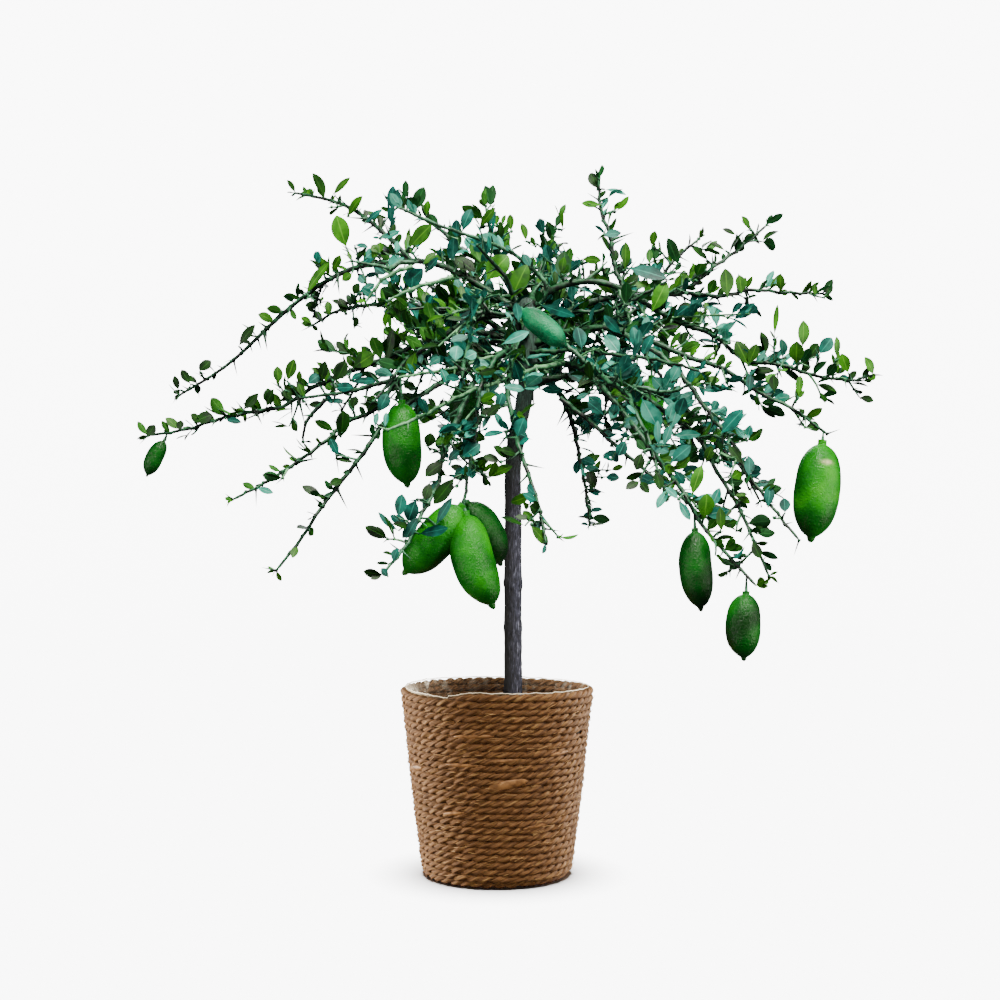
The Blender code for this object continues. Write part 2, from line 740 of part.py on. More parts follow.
def obstacles():
    """Lines with a radius that foliage keeps clear of: trunk, boughs and fruit."""
    found = []
    points, _ = trunk_line()
    found.append((dense(points), TRUNK_HEAD_RADIUS))
    for name in BOUGHS:
        found.append((dense(bough_line(name)), BOUGH_ROOT_RADIUS))
    for fruit in FRUITS:
        _, top, bottom = fruit_axis(fruit)
        core = [top.lerp(bottom, share) for share in FRUIT_CORE]
        found.append((dense(core), fruit.width / 2))
    return found


clear_scene()
PLANT = new_collection("finger_lime_tree")
CUTTERS = new_collection("cutters")
STEM_LINES = {name: stem_line(name) for name in MASSES}
DENSE_STEMS = {name: dense(line) for name, line in STEM_LINES.items()}
OBSTACLES = obstacles()

make_basket()
make_lining()
make_soil()
make_trunk()
for bough_name in BOUGHS:
    make_bough(bough_name)
for mass_name in MASSES:
    make_mass(mass_name)
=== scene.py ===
"""Looks of the finger lime tree in its seagrass basket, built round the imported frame.

Units are metres, +Z is up. The trunk and boughs get bark with real relief. Every mass of
foliage is grown again from its stem by the same seeded rule, down to nodes with thorns
and small leaves. The basket is one long coil of two-ply rope with a film lining.
"""

import math
import random
from bisect import bisect_right
from collections import defaultdict, namedtuple

import bmesh
import bpy
import numpy as np
from mathutils import Matrix, Vector, noise
from mathutils.geometry import interpolate_bezier


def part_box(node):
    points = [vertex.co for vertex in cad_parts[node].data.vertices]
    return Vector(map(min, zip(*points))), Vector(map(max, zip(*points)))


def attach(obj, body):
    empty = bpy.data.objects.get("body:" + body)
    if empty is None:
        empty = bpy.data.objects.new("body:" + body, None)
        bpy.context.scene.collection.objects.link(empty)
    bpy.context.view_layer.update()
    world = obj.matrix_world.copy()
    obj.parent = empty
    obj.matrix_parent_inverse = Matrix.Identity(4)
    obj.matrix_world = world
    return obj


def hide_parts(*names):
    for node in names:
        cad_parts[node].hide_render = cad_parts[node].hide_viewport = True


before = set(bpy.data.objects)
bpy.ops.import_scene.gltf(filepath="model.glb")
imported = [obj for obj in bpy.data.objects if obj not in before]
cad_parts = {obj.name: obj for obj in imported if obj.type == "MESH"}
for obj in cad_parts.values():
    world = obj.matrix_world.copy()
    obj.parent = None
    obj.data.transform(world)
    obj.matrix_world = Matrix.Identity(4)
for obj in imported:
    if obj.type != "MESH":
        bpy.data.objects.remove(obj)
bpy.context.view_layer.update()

BODY = "root"
MM = 0.001

# Basket: outer radius of its rope at each height, as the photograph shows it
BASKET_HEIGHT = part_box("basket")[1].z
BASKET_OUTLINE = (
    (0.000, 0.0715), (0.0035, 0.0730), (0.011, 0.0757), (0.028, 0.0778), (0.064, 0.0826),
    (0.100, 0.0870), (0.136, 0.0907), (0.155, 0.0928), (0.168, 0.0948), (0.190, 0.0968),
)
ROPE = 0.0066
SOIL_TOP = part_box("soil")[1].z

# Trunk, as the solids have it
TRUNK_FOOT = (0.016, 0.0)
TRUNK_HEAD = (0.030, 0.0)
TRUNK_BEND = (0.400, 0.500)
TRUNK_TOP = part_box("trunk")[1].z
TRUNK_RADIUS = 0.0092
TRUNK_NECK_RADIUS = 0.0076
TRUNK_HEAD_RADIUS = 0.0112
TRUNK_HEAD_HEIGHT = 0.530
TRUNK_HEAD_SPREAD = 0.034
TRUNK_FLARE = 0.0040
TRUNK_FLARE_HEIGHT = 0.012
TRUNK_KNOTS = ((0.288, 0.0011), (0.244, 0.0005), (0.430, 0.0008))
TRUNK_KNOT_SPREAD = 0.006

# Limbs, as the solids have them
GAP = 0.0003
BOUGH_ROOT_RADIUS = 0.0038
BOUGH_TIP_RADIUS = 0.0028
BOUGH_STEPS = 6
STEM_ROOT_RADIUS = 0.0033
STEM_TIP_RADIUS = 0.0016
STEM_STEP = 0.036
STRAIGHT_START = 0.005
ARCH_PULL = 0.38
WANDER = 0.02
WANDER_WAVES = 3
WANDER_TURNS = (1.5, 3.5)
TURN = 137.5

# Nodes along a cane, each with a kink, a thorn and leaves
BARE_START = 0.012
BARE_TIP = 0.01
NODE_STEP = 0.0110
NODE_SPREAD = (0.8, 1.25)
NODE_SWELL = 1.14
ZIGZAG = 0.0010
CANE_SLIMNESS = 0.88
LINE_STEP = 0.006

# Canes that cross the crown between the stems
CROSSINGS = 3
CROSSINGS_START, CROSSINGS_SPAN = 0.35, 0.6
CROSSING_LENGTH = (0.075, 0.150)
CROSSING_RADII = (0.0021, 0.0010)
CROSSING_ANGLE = (30, 75)
CROSSING_BEND = 0.35
CROWN_REACH = 0.27
CROWN_LOW = 0.36
CROWN_TOP = 0.655

# Side shoots, and the twigs on them
SIDE_STEP = 0.0135
SIDE_SPREAD = (0.8, 1.2)
TURN_SWAY = 25
SIDE_LENGTH = 0.062
SIDE_SHORTENING = 0.50
SIDE_SHARES = (0.35, 1.15)
SIDE_ANGLE = 50
SIDE_ANGLE_SPREAD = 18
SIDE_LIFT = 0.08
SIDE_BEND = 0.28
RISING_SHORTENING = 0.55
SIDE_BARE_START = 0.004
SIDE_NODE_STEP = 0.0085
SIDE_NODE_SPREAD = (0.75, 1.3)
SIDE_LEAF_SIZE = 0.80
SIDE_LEAF_GAIN = 0.35
SIDE_THORN_CHANCE = 0.5
SIDE_RADIUS = 0.0014
SIDE_TIP_RADIUS = 0.0008
SIDE_SLACK = 0.026
TWIG_STEP = 0.017
TWIG_SPREAD = (0.8, 1.3)
TWIGS_END = 0.85
TWIG_LENGTH = (0.010, 0.026)
TWIG_SLIMMING = 0.75
FORKED_FROM = 0.032
TIP_LEAF_SHARE = 0.55
TIP_LEAVES = 3

# Leaves and thorns
LEAF_LENGTH = 0.0170
LEAF_SHORTENING = 0.12
LEAF_SPREAD = (0.60, 1.40)
BROAD_LEAF = (0.06, 1.35)
LEAF_ANGLE = (25, 68)
LEAF_LIFT = (0.10, 0.65)
LEAF_WIDTH = (0.38, 0.56)
LEAF_DEPTH = (0.4, 1.5)
LEAF_SIDES = 70
LEAVES_SPREAD = 0.7
FACE_SWAY, FACE_OUTWARD, FACE_UP = 0.8, 0.6, 0.6
UPWARD = -90
TINT_CHANGE = 0.22
THORN_LENGTH = (0.010, 0.027)
THORN_WIDTH = 0.029
SMALL_THORN_LENGTH = (0.006, 0.013)
SMALL_THORN_WIDTH = 0.016
THORN_ANGLE = 62
THORN_MARGIN = 0.001
THORN_SHORTENING = 0.3
THORN_SLIMMING = 0.45
CANE_THORN_CHANCE = 0.8
BOUGH_THORN_CHANCE = 0.7
BOUGH_THORNS = 1.1
BOUGH_SIDES = 0.9
BOUGH_BARE = 0.2
LIMB_MARGIN = 0.0035

Bough = namedtuple("Bough", "root bearing reach height climb fall")
BOUGHS = {
    "upper_left": Bough(0.556, 172, 0.135, 0.613, 30, 8),
    "mid_left": Bough(0.526, 186, 0.105, 0.528, 18, 30),
    "low_left": Bough(0.496, 203, 0.090, 0.486, 12, 34),
    "top_left": Bough(0.546, 126, 0.078, 0.622, 55, -15),
    "right_arch": Bough(0.560, -6, 0.108, 0.573, 55, 38),
    "upper_right": Bough(0.540, 16, 0.135, 0.584, 28, -2),
    "back_right": Bough(0.515, 40, 0.120, 0.565, 32, 2),
    "mid_right": Bough(0.524, -20, 0.125, 0.526, 22, 28),
    "low_right": Bough(0.488, 2, 0.110, 0.480, 12, 36),
    "front_right": Bough(0.502, -46, 0.100, 0.478, 10, 48),
    "front": Bough(0.534, -102, 0.075, 0.504, 8, 50),
    "front_left": Bough(0.512, -128, 0.085, 0.482, 12, 60),
    "upper_front_left": Bough(0.550, -152, 0.085, 0.536, 16, 30),
    "back": Bough(0.550, 80, 0.095, 0.600, 45, -2),
    "hanging_back": Bough(0.480, 64, 0.080, 0.485, 15, 35),
    "back_left": Bough(0.522, 150, 0.110, 0.575, 34, 0),
    "low_back_left": Bough(0.500, 112, 0.090, 0.540, 30, 8),
}

Mass = namedtuple("Mass", "bough at bearing reach height climb fall")
MASSES = {
    "rising_left": Mass("upper_left", 0.88, 165, 0.250, 0.694, 44, -6),
    "high_left": Mass("upper_left", 1, 173, 0.360, 0.480, 0, 24),
    "long_left": Mass("mid_left", 1, 184, 0.374, 0.434, 0, 8),
    "sloping_left": Mass("mid_left", 0.75, 196, 0.291, 0.370, -44, 27),
    "hanging_left": Mass("low_left", 1, 208, 0.263, 0.304, 0, 48),
    "upright_left": Mass("top_left", 1, 141, 0.190, 0.696, 0, -18),
    "upright_back": Mass("top_left", 0.7, 108, 0.138, 0.694, 66, -62),
    "long_right": Mass("right_arch", 1, -6, 0.330, 0.487, 0, 3),
    "leader": Mass("right_arch", 0.9, 15, 0.076, 0.698, 64, -84),
    "rising_right": Mass("upper_right", 1, 14, 0.260, 0.660, 0, -36),
    "level_right": Mass("upper_right", 0.7, 6, 0.305, 0.583, 0, 4),
    "upper_back_right": Mass("back_right", 1, 30, 0.216, 0.654, 0, -28),
    "low_back_right": Mass("back_right", 0.7, 46, 0.285, 0.430, 4, 50),
    "fruiting_right": Mass("mid_right", 1, -16, 0.294, 0.432, 0, 38),
    "drooping_right": Mass("mid_right", 0.7, -29, 0.280, 0.332, -20, 46),
    "hanging_right": Mass("low_right", 1, -10, 0.238, 0.296, 0, 66),
    "low_right": Mass("low_right", 0.7, 22, 0.270, 0.372, -8, 56),
    "low_front_right": Mass("front_right", 1, -41, 0.264, 0.292, 0, 42),
    "front_right": Mass("front_right", 0.7, -66, 0.262, 0.386, -6, 58),
    "pale_front_left": Mass("front_right", 0.5, -133, 0.189, 0.432, -10, 22),
    "front": Mass("front", 0.75, -115, 0.146, 0.352, -10, 72),
    "hanging_front": Mass("front", 1, -87, 0.228, 0.330, 0, 54),
    "out_front": Mass("upper_front_left", 0.5, -104, 0.246, 0.468, 16, 40),
    "low_front_left": Mass("front_left", 1, -126, 0.222, 0.302, 0, 30),
    "front_left": Mass("upper_front_left", 1, -148, 0.172, 0.462, 0, 48),
    "upper_front": Mass("front", 0.4, -112, 0.128, 0.604, 74, -10),
    "back": Mass("back", 1, 84, 0.300, 0.545, 0, 44),
    "rising_back": Mass("back", 0.7, 75, 0.145, 0.684, 62, -60),
    "hanging_back": Mass("hanging_back", 1, 62, 0.150, 0.346, 0, 78),
    "far_left": Mass("back_left", 1, 148, 0.275, 0.566, 0, 22),
    "back_left": Mass("back_left", 0.7, 134, 0.300, 0.478, 12, 44),
    "low_back_left": Mass("low_back_left", 1, 110, 0.262, 0.430, 0, 54),
}

# Fruits: mass and share of its stem, drop, length, width, bearing and lean of each, and its rind
Fruit = namedtuple("Fruit", "mass along drop length width towards lean rind")
FRUITS = (
    Fruit("front_left", 0.62, 0.030, 0.084, 0.037, 0, 4, "middle"),
    Fruit("front", 0.93, 0.001, 0.086, 0.038, 172, 41, "ripe"),
    Fruit("front", 0.94, 0.006, 0.093, 0.039, -25, 18, "ripe"),
    Fruit("front", 0.91, 0.003, 0.077, 0.034, 48, 39, "deep"),
    Fruit("upper_front", 0.26, 0.008, 0.060, 0.023, -10, 50, "young"),
    Fruit("low_front_right", 0.64, 0.016, 0.076, 0.030, 0, 4, "deep"),
    Fruit("low_front_right", 0.95, 0.014, 0.062, 0.031, 180, 2, "deep"),
    Fruit("fruiting_right", 0.98, 0.008, 0.098, 0.043, 180, 7, "ripe"),
    Fruit("long_left", 0.93, 0.008, 0.041, 0.0165, 180, 26, "deep"),
    Fruit("back", 0.35, 0.010, 0.078, 0.035, 90, 6, "ripe"),
    Fruit("low_back_left", 0.42, 0.010, 0.070, 0.032, 90, 8, "deep"),
    Fruit("low_back_right", 0.50, 0.012, 0.084, 0.038, 180, 5, "ripe"),
)

# Canes that cross the crown's front in the photo: look, depth at root and tip, where each bend shows
SHOWN_CANES = (
    ("pale_shoot", 0.0, -0.10, ((522, 306), (521, 326), (509, 346), (489, 357), (454, 368), (425, 373), (399, 377))),
    ("green_shoot", 0.0, -0.03, ((528, 312), (548, 288), (524, 261), (504, 248), (470, 235), (438, 224), (400, 207))),
    ("old_shoot", -0.02, -0.09, ((530, 352), (585, 350), (610, 354), (642, 357), (672, 363), (700, 371))),
    ("old_shoot", -0.02, -0.05, ((524, 316), (505, 314), (457, 310), (432, 307), (408, 309))),
    ("old_shoot", 0.0, -0.02, ((528, 322), (566, 312), (604, 310), (642, 295), (668, 280))),
    ("green_shoot", -0.05, -0.12, ((566, 345), (600, 372), (628, 384), (668, 392), (690, 384))),
    ("old_shoot", -0.03, -0.03, ((400, 378), (376, 384), (359, 389), (339, 393), (315, 396), (300, 398))),
    ("old_shoot", -0.03, -0.02, ((325, 399), (318, 408), (310, 415), (303, 432), (303, 442))),
    ("pale_shoot", -0.03, -0.06, ((452, 276), (438, 281), (421, 285), (402, 293), (386, 301))),
    ("pale_shoot", -0.02, -0.04, ((412, 266), (399, 270), (386, 276), (375, 287), (366, 301))),
    ("green_shoot", -0.02, -0.03, ((414, 262), (400, 262), (389, 268), (379, 265), (365, 263), (351, 260))),
    ("old_shoot", -0.06, -0.10, ((560, 398), (592, 423), (613, 443), (638, 464), (658, 481), (676, 492), (699, 514))),
)

# Leaves that stand out in the photo: where the base and the tip show, and how wide, in pixels
SHOWN_LEAVES = {
    "deep_green": (
        (238, 346, 255, 325, 9), (199, 371, 210, 360, 10), (190, 384, 180, 369, 8), (178, 390, 175, 376, 7),
        (346, 314, 339, 297, 11), (271, 406, 267, 388, 11), (243, 409, 257, 395, 9), (194, 422, 211, 414, 11),
        (180, 430, 180, 420, 8), (147, 437, 155, 425, 9), (336, 381, 346, 362, 11), (341, 437, 344, 411, 13),
        (392, 350, 396, 334, 12), (386, 363, 393, 331, 10), (476, 272, 455, 256, 16), (591, 486, 589, 472, 10),
        (775, 392, 773, 375, 10), (728, 444, 740, 463, 8), (752, 541, 759, 558, 9), (486, 417, 500, 405, 9),
        (737, 234, 723, 228, 6), (726, 250, 711, 241, 6), (707, 259, 692, 248, 8),
        (428, 448, 431, 433, 10), (444, 462, 426, 476, 12), (455, 477, 434, 504, 12), (465, 477, 465, 465, 5),
        (595, 490, 591, 471, 10), (321, 381, 326, 362, 9), (333, 381, 345, 360, 12), (266, 407, 274, 390, 10),
        (367, 412, 374, 395, 10), (290, 400, 285, 388, 8), (305, 396, 297, 381, 7), (354, 294, 357, 283, 8),
        (354, 328, 357, 317, 6), (430, 482, 425, 500, 9), (655, 470, 660, 490, 9), (642, 452, 636, 470, 10),
        (243, 410, 259, 394, 8), (284, 389, 291, 399, 7), (352, 368, 372, 353, 13), (307, 405, 323, 404, 7),
        (352, 408, 356, 396, 8), (356, 256, 365, 250, 6), (589, 486, 594, 472, 9),
    ),
    "olive_green": (
        (332, 194, 350, 178, 7), (347, 216, 362, 196, 11), (332, 270, 340, 255, 8), (278, 384, 277, 366, 9),
        (287, 381, 294, 359, 10), (326, 382, 322, 363, 9), (354, 367, 374, 353, 14), (410, 246, 431, 225, 15),
        (479, 227, 495, 208, 9), (511, 299, 527, 264, 16), (526, 240, 522, 222, 8), (562, 273, 564, 257, 8),
        (582, 258, 601, 261, 8), (616, 295, 594, 275, 11), (625, 269, 626, 242, 9), (652, 245, 655, 231, 8),
        (728, 297, 725, 269, 16), (742, 293, 740, 274, 11), (782, 292, 780, 274, 8), (816, 295, 815, 283, 6),
        (749, 366, 737, 340, 14), (749, 364, 757, 344, 11), (329, 315, 327, 300, 8), (751, 228, 742, 216, 7),
        (797, 364, 796, 342, 14), (721, 531, 719, 508, 9), (530, 525, 548, 545, 9),
        (671, 463, 668, 474, 10), (611, 470, 623, 466, 6), (379, 252, 371, 244, 9), (706, 462, 712, 446, 9),
        (298, 382, 304, 396, 7), (373, 260, 376, 246, 7), (423, 264, 435, 251, 8), (352, 272, 342, 280, 8),
    ),
    "fresh_green": (
        (346, 247, 336, 215, 17), (305, 294, 329, 264, 9), (486, 280, 508, 254, 22), (652, 312, 667, 281, 14),
        (775, 335, 778, 304, 5), (803, 347, 803, 321, 12), (837, 357, 836, 337, 7), (849, 373, 841, 354, 10),
        (874, 375, 865, 357, 9), (692, 496, 702, 465, 10), (704, 519, 706, 494, 14), (799, 396, 801, 375, 7),
        (426, 214, 428, 200, 7), (563, 229, 562, 210, 4), (617, 210, 629, 196, 6), (602, 204, 582, 201, 7),
    ),
    "blue_green": (
        (364, 223, 382, 209, 6), (316, 262, 316, 251, 6), (225, 419, 241, 422, 6), (327, 401, 344, 401, 6),
        (336, 384, 354, 388, 8), (462, 230, 471, 208, 12), (404, 286, 423, 270, 14), (628, 267, 665, 279, 14),
        (540, 304, 574, 318, 9), (519, 322, 516, 302, 9), (582, 349, 578, 326, 13), (622, 334, 604, 315, 9),
        (521, 382, 514, 363, 12), (721, 434, 742, 410, 14), (749, 477, 749, 456, 11), (768, 507, 771, 486, 9),
        (785, 513, 784, 498, 11), (749, 392, 750, 375, 9), (540, 389, 562, 392, 9), (398, 518, 402, 494, 11),
        (405, 540, 418, 518, 9), (419, 534, 448, 528, 9), (393, 562, 398, 548, 8), (626, 264, 624, 243, 9),
        (603, 234, 622, 231, 8), (498, 408, 503, 392, 9), (436, 525, 452, 498, 8), (517, 437, 524, 418, 12),
        (657, 373, 655, 344, 14), (820, 354, 833, 337, 12), (439, 477, 422, 509, 9), (418, 520, 402, 538, 8),
        (416, 499, 408, 521, 13), (462, 458, 480, 443, 14), (448, 461, 459, 451, 8), (388, 577, 382, 568, 6),
        (604, 415, 588, 402, 12), (613, 415, 615, 404, 9), (678, 418, 684, 398, 12), (621, 428, 639, 419, 10),
        (670, 463, 691, 445, 11), (675, 470, 684, 484, 9), (605, 477, 619, 478, 10), (307, 384, 319, 374, 10),
        (336, 388, 353, 388, 8), (351, 381, 377, 381, 7), (379, 412, 387, 393, 12), (354, 244, 368, 247, 6),
        (362, 264, 374, 252, 10), (626, 440, 618, 456, 10), (650, 445, 668, 452, 9), (566, 372, 584, 380, 9),
        (411, 290, 414, 267, 18), (372, 265, 385, 273, 9), (359, 291, 371, 287, 9), (426, 272, 438, 258, 7),
        (378, 411, 388, 394, 12), (366, 284, 358, 274, 9), (392, 284, 396, 273, 9),
    ),
    "pale_blue_green": (
        (379, 238, 400, 230, 6), (257, 488, 274, 493, 6), (490, 342, 497, 325, 12), (502, 344, 529, 331, 9),
        (455, 361, 457, 345, 11), (428, 365, 441, 357, 8), (604, 333, 618, 352, 13), (652, 366, 658, 344, 14),
        (663, 392, 677, 366, 14), (666, 392, 652, 378, 12), (526, 358, 553, 352, 9), (503, 386, 524, 389, 8),
        (642, 398, 655, 424, 15), (668, 424, 674, 402, 12), (588, 395, 601, 408, 12), (610, 421, 618, 405, 9),
        (647, 402, 660, 427, 13), (671, 430, 680, 399, 12), (711, 508, 719, 488, 8), (465, 358, 476, 352, 9),
        (375, 427, 377, 412, 5), (385, 427, 386, 412, 5), (388, 266, 399, 255, 10), (362, 291, 374, 283, 9),
        (376, 297, 362, 289, 7), (659, 446, 657, 421, 6), (664, 446, 670, 426, 7), (673, 436, 699, 435, 9),
        (387, 268, 404, 258, 9), (365, 257, 375, 249, 10), (396, 253, 397, 240, 6), (378, 278, 388, 283, 7),
        (605, 188, 626, 195, 6), (678, 500, 690, 520, 7), (718, 326, 712, 306, 9), (671, 382, 680, 364, 10),
    ),
}

# Long thorns that stand out in the photo: where the base and the point show, in pixels
SHOWN_THORNS = (
    (339, 441, 339, 475), (302, 398, 305, 426), (256, 412, 262, 425), (339, 283, 339, 295), (267, 328, 257, 321),
    (270, 328, 285, 306), (267, 339, 267, 351), (340, 490, 348, 510), (323, 502, 313, 497), (620, 238, 635, 231),
    (726, 436, 740, 434), (558, 258, 556, 234), (298, 462, 290, 455), (300, 464, 318, 458), (283, 474, 284, 482),
    (575, 274, 580, 262), (545, 290, 543, 278), (470, 275, 462, 284), (441, 261, 446, 272), (409, 258, 402, 270),
    (639, 463, 640, 487), (620, 449, 617, 466), (661, 481, 664, 492), (700, 300, 706, 286), (640, 300, 650, 288),
    (466, 441, 456, 436), (455, 468, 460, 479), (590, 452, 581, 458), (760, 345, 762, 330), (730, 320, 741, 328),
    (745, 510, 738, 498), (765, 528, 776, 524), (728, 512, 719, 518), (566, 340, 574, 328), (508, 347, 512, 336),
    (489, 357, 484, 346), (454, 368, 449, 358), (425, 372, 428, 384), (559, 366, 562, 378), (482, 398, 478, 388),
)

# How full a mass is of side shoots at its root and tip, how long they are, and leaves at a node
Habit = namedtuple("Habit", "root tip length leaves")
FULL = Habit(0.95, 0.65, 1.0, 2.0)
HABITS = {
    "rising_left": Habit(1.0, 0.4, 0.8, 2.2),
    "high_left": Habit(1.0, 0.3, 0.7, 2.2),
    "long_left": Habit(1.0, 0.45, 0.8, 3.0),
    "sloping_left": Habit(0.7, 0.10, 0.5, 1.1),
    "hanging_left": Habit(0.6, 0.10, 0.4, 1.2),
    "upright_left": Habit(0.9, 0.5, 0.7, 1.8),
    "upright_back": Habit(0.6, 0.4, 0.7, 1.8),
    "leader": Habit(0.5, 0.2, 0.5, 1.3),
    "rising_right": Habit(0.8, 0.35, 0.6, 1.8),
    "level_right": Habit(0.9, 0.30, 0.6, 2.2),
    "long_right": Habit(1.0, 0.8, 1.1, 2.6),
    "upper_back_right": Habit(0.9, 0.5, 0.8, 1.8),
    "rising_back": Habit(0.7, 0.4, 0.7, 1.6),
    "fruiting_right": Habit(1.0, 0.7, 1.0, 2.6),
    "drooping_right": Habit(0.9, 0.6, 0.8, 1.8),
    "hanging_right": Habit(1.0, 0.6, 0.8, 2.2),
    "low_front_right": Habit(1.0, 0.4, 0.8, 2.2),
    "hanging_front": Habit(0.7, 0.4, 0.6, 1.6),
    "low_front_left": Habit(1.0, 0.8, 1.1, 2.2),
    "pale_front_left": Habit(0.5, 0.3, 0.5, 1.2),
    "hanging_back": Habit(1.0, 0.9, 0.8, 2.2),
    "far_left": Habit(0.6, 0.3, 0.7, 1.5),
    "back_left": Habit(0.7, 0.4, 0.8, 1.5),
    "front_left": Habit(1.0, 0.8, 1.1, 2.0),
}

# Canes that the photo shows, leaves at their nodes, and the canes of other looks
SHOWN_CANE_RADII = (STEM_ROOT_RADIUS * 0.85, STEM_TIP_RADIUS)
SHOWN_CANE_LEAVES = 1.0
SIDE_LEAVES = 1.9
CROSSING_LEAVES = 1.2
PALE_CANES = ("pale_front_left",)
GREEN_CANES = ("low_front_left",)

# Where blue-green sprays are thickest: the middle of the crown, right of the trunk
BLUE_CENTRE = Vector((0.10, -0.06, 0.47))
BLUE_SPREAD = 0.20
BLUE_CHANCE = (0.02, 0.78)
BLUE_TINTS = {"blue_green": 0.6, "pale_blue_green": 0.4}
OUTER_TINTS = {"deep_green": 0.56, "olive_green": 0.38, "fresh_green": 0.06}
CROWN_CENTRE = Vector((0.03, 0.0, 0.46))
# Painted shade: how far round the crown's middle, and how often, sprays take the darker tints
PAINTED_SHADE_SPREAD = 0.10
PAINTED_SHADE_CHANCE = 0.9

# Air that the crown leaves open under its middle: each a centre and its three radii
OPEN_AIR = (
    (Vector((0.057, 0.0, 0.405)), Vector((0.031, 0.30, 0.082))),
    (Vector((-0.037, 0.0, 0.457)), Vector((0.024, 0.16, 0.032))),
)

# A side this short, of unit vectors, tells too little of which way it points
NEARLY_NONE = 0.15


def smooth(share):
    """A share eased in and out, held between 0 and 1."""
    share = min(1, max(0, share))
    return share * share * (3 - 2 * share)


def bump(distance, spread):
    """1 at no distance, and less the further off."""
    return math.exp(-((distance / spread) ** 2))


def between(first, last, share):
    """The value at a share of the way from first to last."""
    return first + (last - first) * share


def round_steps(count):
    """The angles that part a full turn into so many steps."""
    return [math.tau * k / count for k in range(count)]


def level_way(turn):
    """The level unit vector at an angle from the right."""
    return Vector((math.cos(turn), math.sin(turn), 0))


def any_way(rng, size=1):
    """A way at random, in a box of some size."""
    return Vector([rng.uniform(-1, 1) for _ in range(3)]) * size


def heading(bearing, climb):
    """The unit vector along a bearing that climbs by an angle, both in degrees."""
    turn, rise = math.radians(bearing), math.radians(climb)
    return Vector((math.cos(turn) * math.cos(rise), math.sin(turn) * math.cos(rise), math.sin(rise)))


def from_head(bearing, reach, height):
    """The point at a bearing and reach from the trunk's head, at a height."""
    return Vector((*TRUNK_HEAD, height)) + heading(bearing, 0) * reach


def arch(start, start_way, end, end_way, steps):
    """Points along a curve that leaves start and reaches end in the given ways."""
    pull = (end - start).length * ARCH_PULL
    return interpolate_bezier(start, start + start_way * pull, end - end_way * pull, end, steps + 1)


class Line:
    """A run of points that can be walked by distance."""

    def __init__(self, points):
        self.points = points
        self.run = [0.0]
        for a, b in zip(points, points[1:]):
            self.run.append(self.run[-1] + (b - a).length)
        self.length = self.run[-1]

    def at(self, distance):
        """The point at a distance along the line, and the line's way there."""
        i = min(max(bisect_right(self.run, distance) - 1, 0), len(self.points) - 2)
        way = (self.points[i + 1] - self.points[i]).normalized()
        return self.points[i] + way * (distance - self.run[i]), way


def wander(points, seed):
    """The points swayed a little to the sides, more in the middle than at the ends."""
    rng = random.Random(seed)
    waves = [(rng.uniform(0, math.tau), rng.uniform(*WANDER_TURNS)) for _ in range(WANDER_WAVES)]
    last = len(points) - 1
    most = WANDER * Line(points).length
    swayed = []
    for i, point in enumerate(points):
        share = i / last
        size = most * math.sin(math.pi * share) ** 2
        sway = Vector([size * math.sin(phase + math.tau * waving * share) for phase, waving in waves])
        swayed.append(point + sway)
    return swayed


def trunk_axis(height):
    bend = smooth((height - TRUNK_BEND[0]) / (TRUNK_BEND[1] - TRUNK_BEND[0]))
    return Vector((*TRUNK_FOOT, height)).lerp(Vector((*TRUNK_HEAD, height)), bend)


def trunk_radius(height):
    share = (height - SOIL_TOP) / (TRUNK_TOP - SOIL_TOP)
    radius = between(TRUNK_RADIUS, TRUNK_NECK_RADIUS, share)
    radius += TRUNK_FLARE * math.exp(-(height - SOIL_TOP) / TRUNK_FLARE_HEIGHT)
    swell = TRUNK_HEAD_RADIUS - TRUNK_NECK_RADIUS
    radius += swell * bump(height - TRUNK_HEAD_HEIGHT, TRUNK_HEAD_SPREAD)
    for knot, size in TRUNK_KNOTS:
        radius += size * bump(height - knot, TRUNK_KNOT_SPREAD)
    return radius


def bough_points(name):
    bough = BOUGHS[name]
    start = trunk_axis(bough.root)
    end = from_head(bough.bearing, bough.reach, bough.height)
    ways = heading(bough.bearing, bough.climb), heading(bough.bearing, -bough.fall)
    return arch(start, ways[0], end, ways[1], BOUGH_STEPS)


def stem_points(name):
    """The line of a mass's stem, from its bough to its tip."""
    mass = MASSES[name]
    bough = Line(bough_points(mass.bough))
    end = from_head(mass.bearing, mass.reach, mass.height)
    start, way = bough.at(bough.length * mass.at)
    first = []
    if mass.at == 1:
        first = [start + way * GAP]
        start = start + way * STRAIGHT_START
    across = end - start
    bearing = math.degrees(math.atan2(across.y, across.x))
    start_way = way if first else heading(bearing, mass.climb)
    steps = max(4, round(across.length / STEM_STEP))
    points = arch(start, start_way, end, heading(bearing, -mass.fall), steps)
    return first + wander(points, name)


def rounded(points, step):
    """The line rounded off through its points, with a point about every step."""
    ends = [points[0] * 2 - points[1], *points, points[-1] * 2 - points[-2]]
    found = []
    for before, a, b, after in zip(ends, ends[1:], ends[2:], ends[3:]):
        count = max(1, round((b - a).length / step))
        found += interpolate_bezier(a, a + (b - before) / 6, b - (after - a) / 6, b, count + 1)[:-1]
    return found + [points[-1]]


def square_to(way, turn):
    """The unit vector square to way at an angle round it, in degrees from the side."""
    side = way.cross(Vector((0, 0, 1)))
    if side.length < NEARLY_NONE:
        side = way.cross(Vector((1, 0, 0)))
    side.normalize()
    return (Matrix.Rotation(math.radians(turn), 3, way) @ side).normalized()


def fruit_axis(fruit):
    """The point on the stem that a fruit hangs from, and the fruit's top and bottom."""
    line = Line(stem_points(fruit.mass))
    hung, _ = line.at(line.length * fruit.along)
    way = heading(fruit.towards, fruit.lean - 90)
    top = hung + way * fruit.drop
    return hung, top, top + way * fruit.length


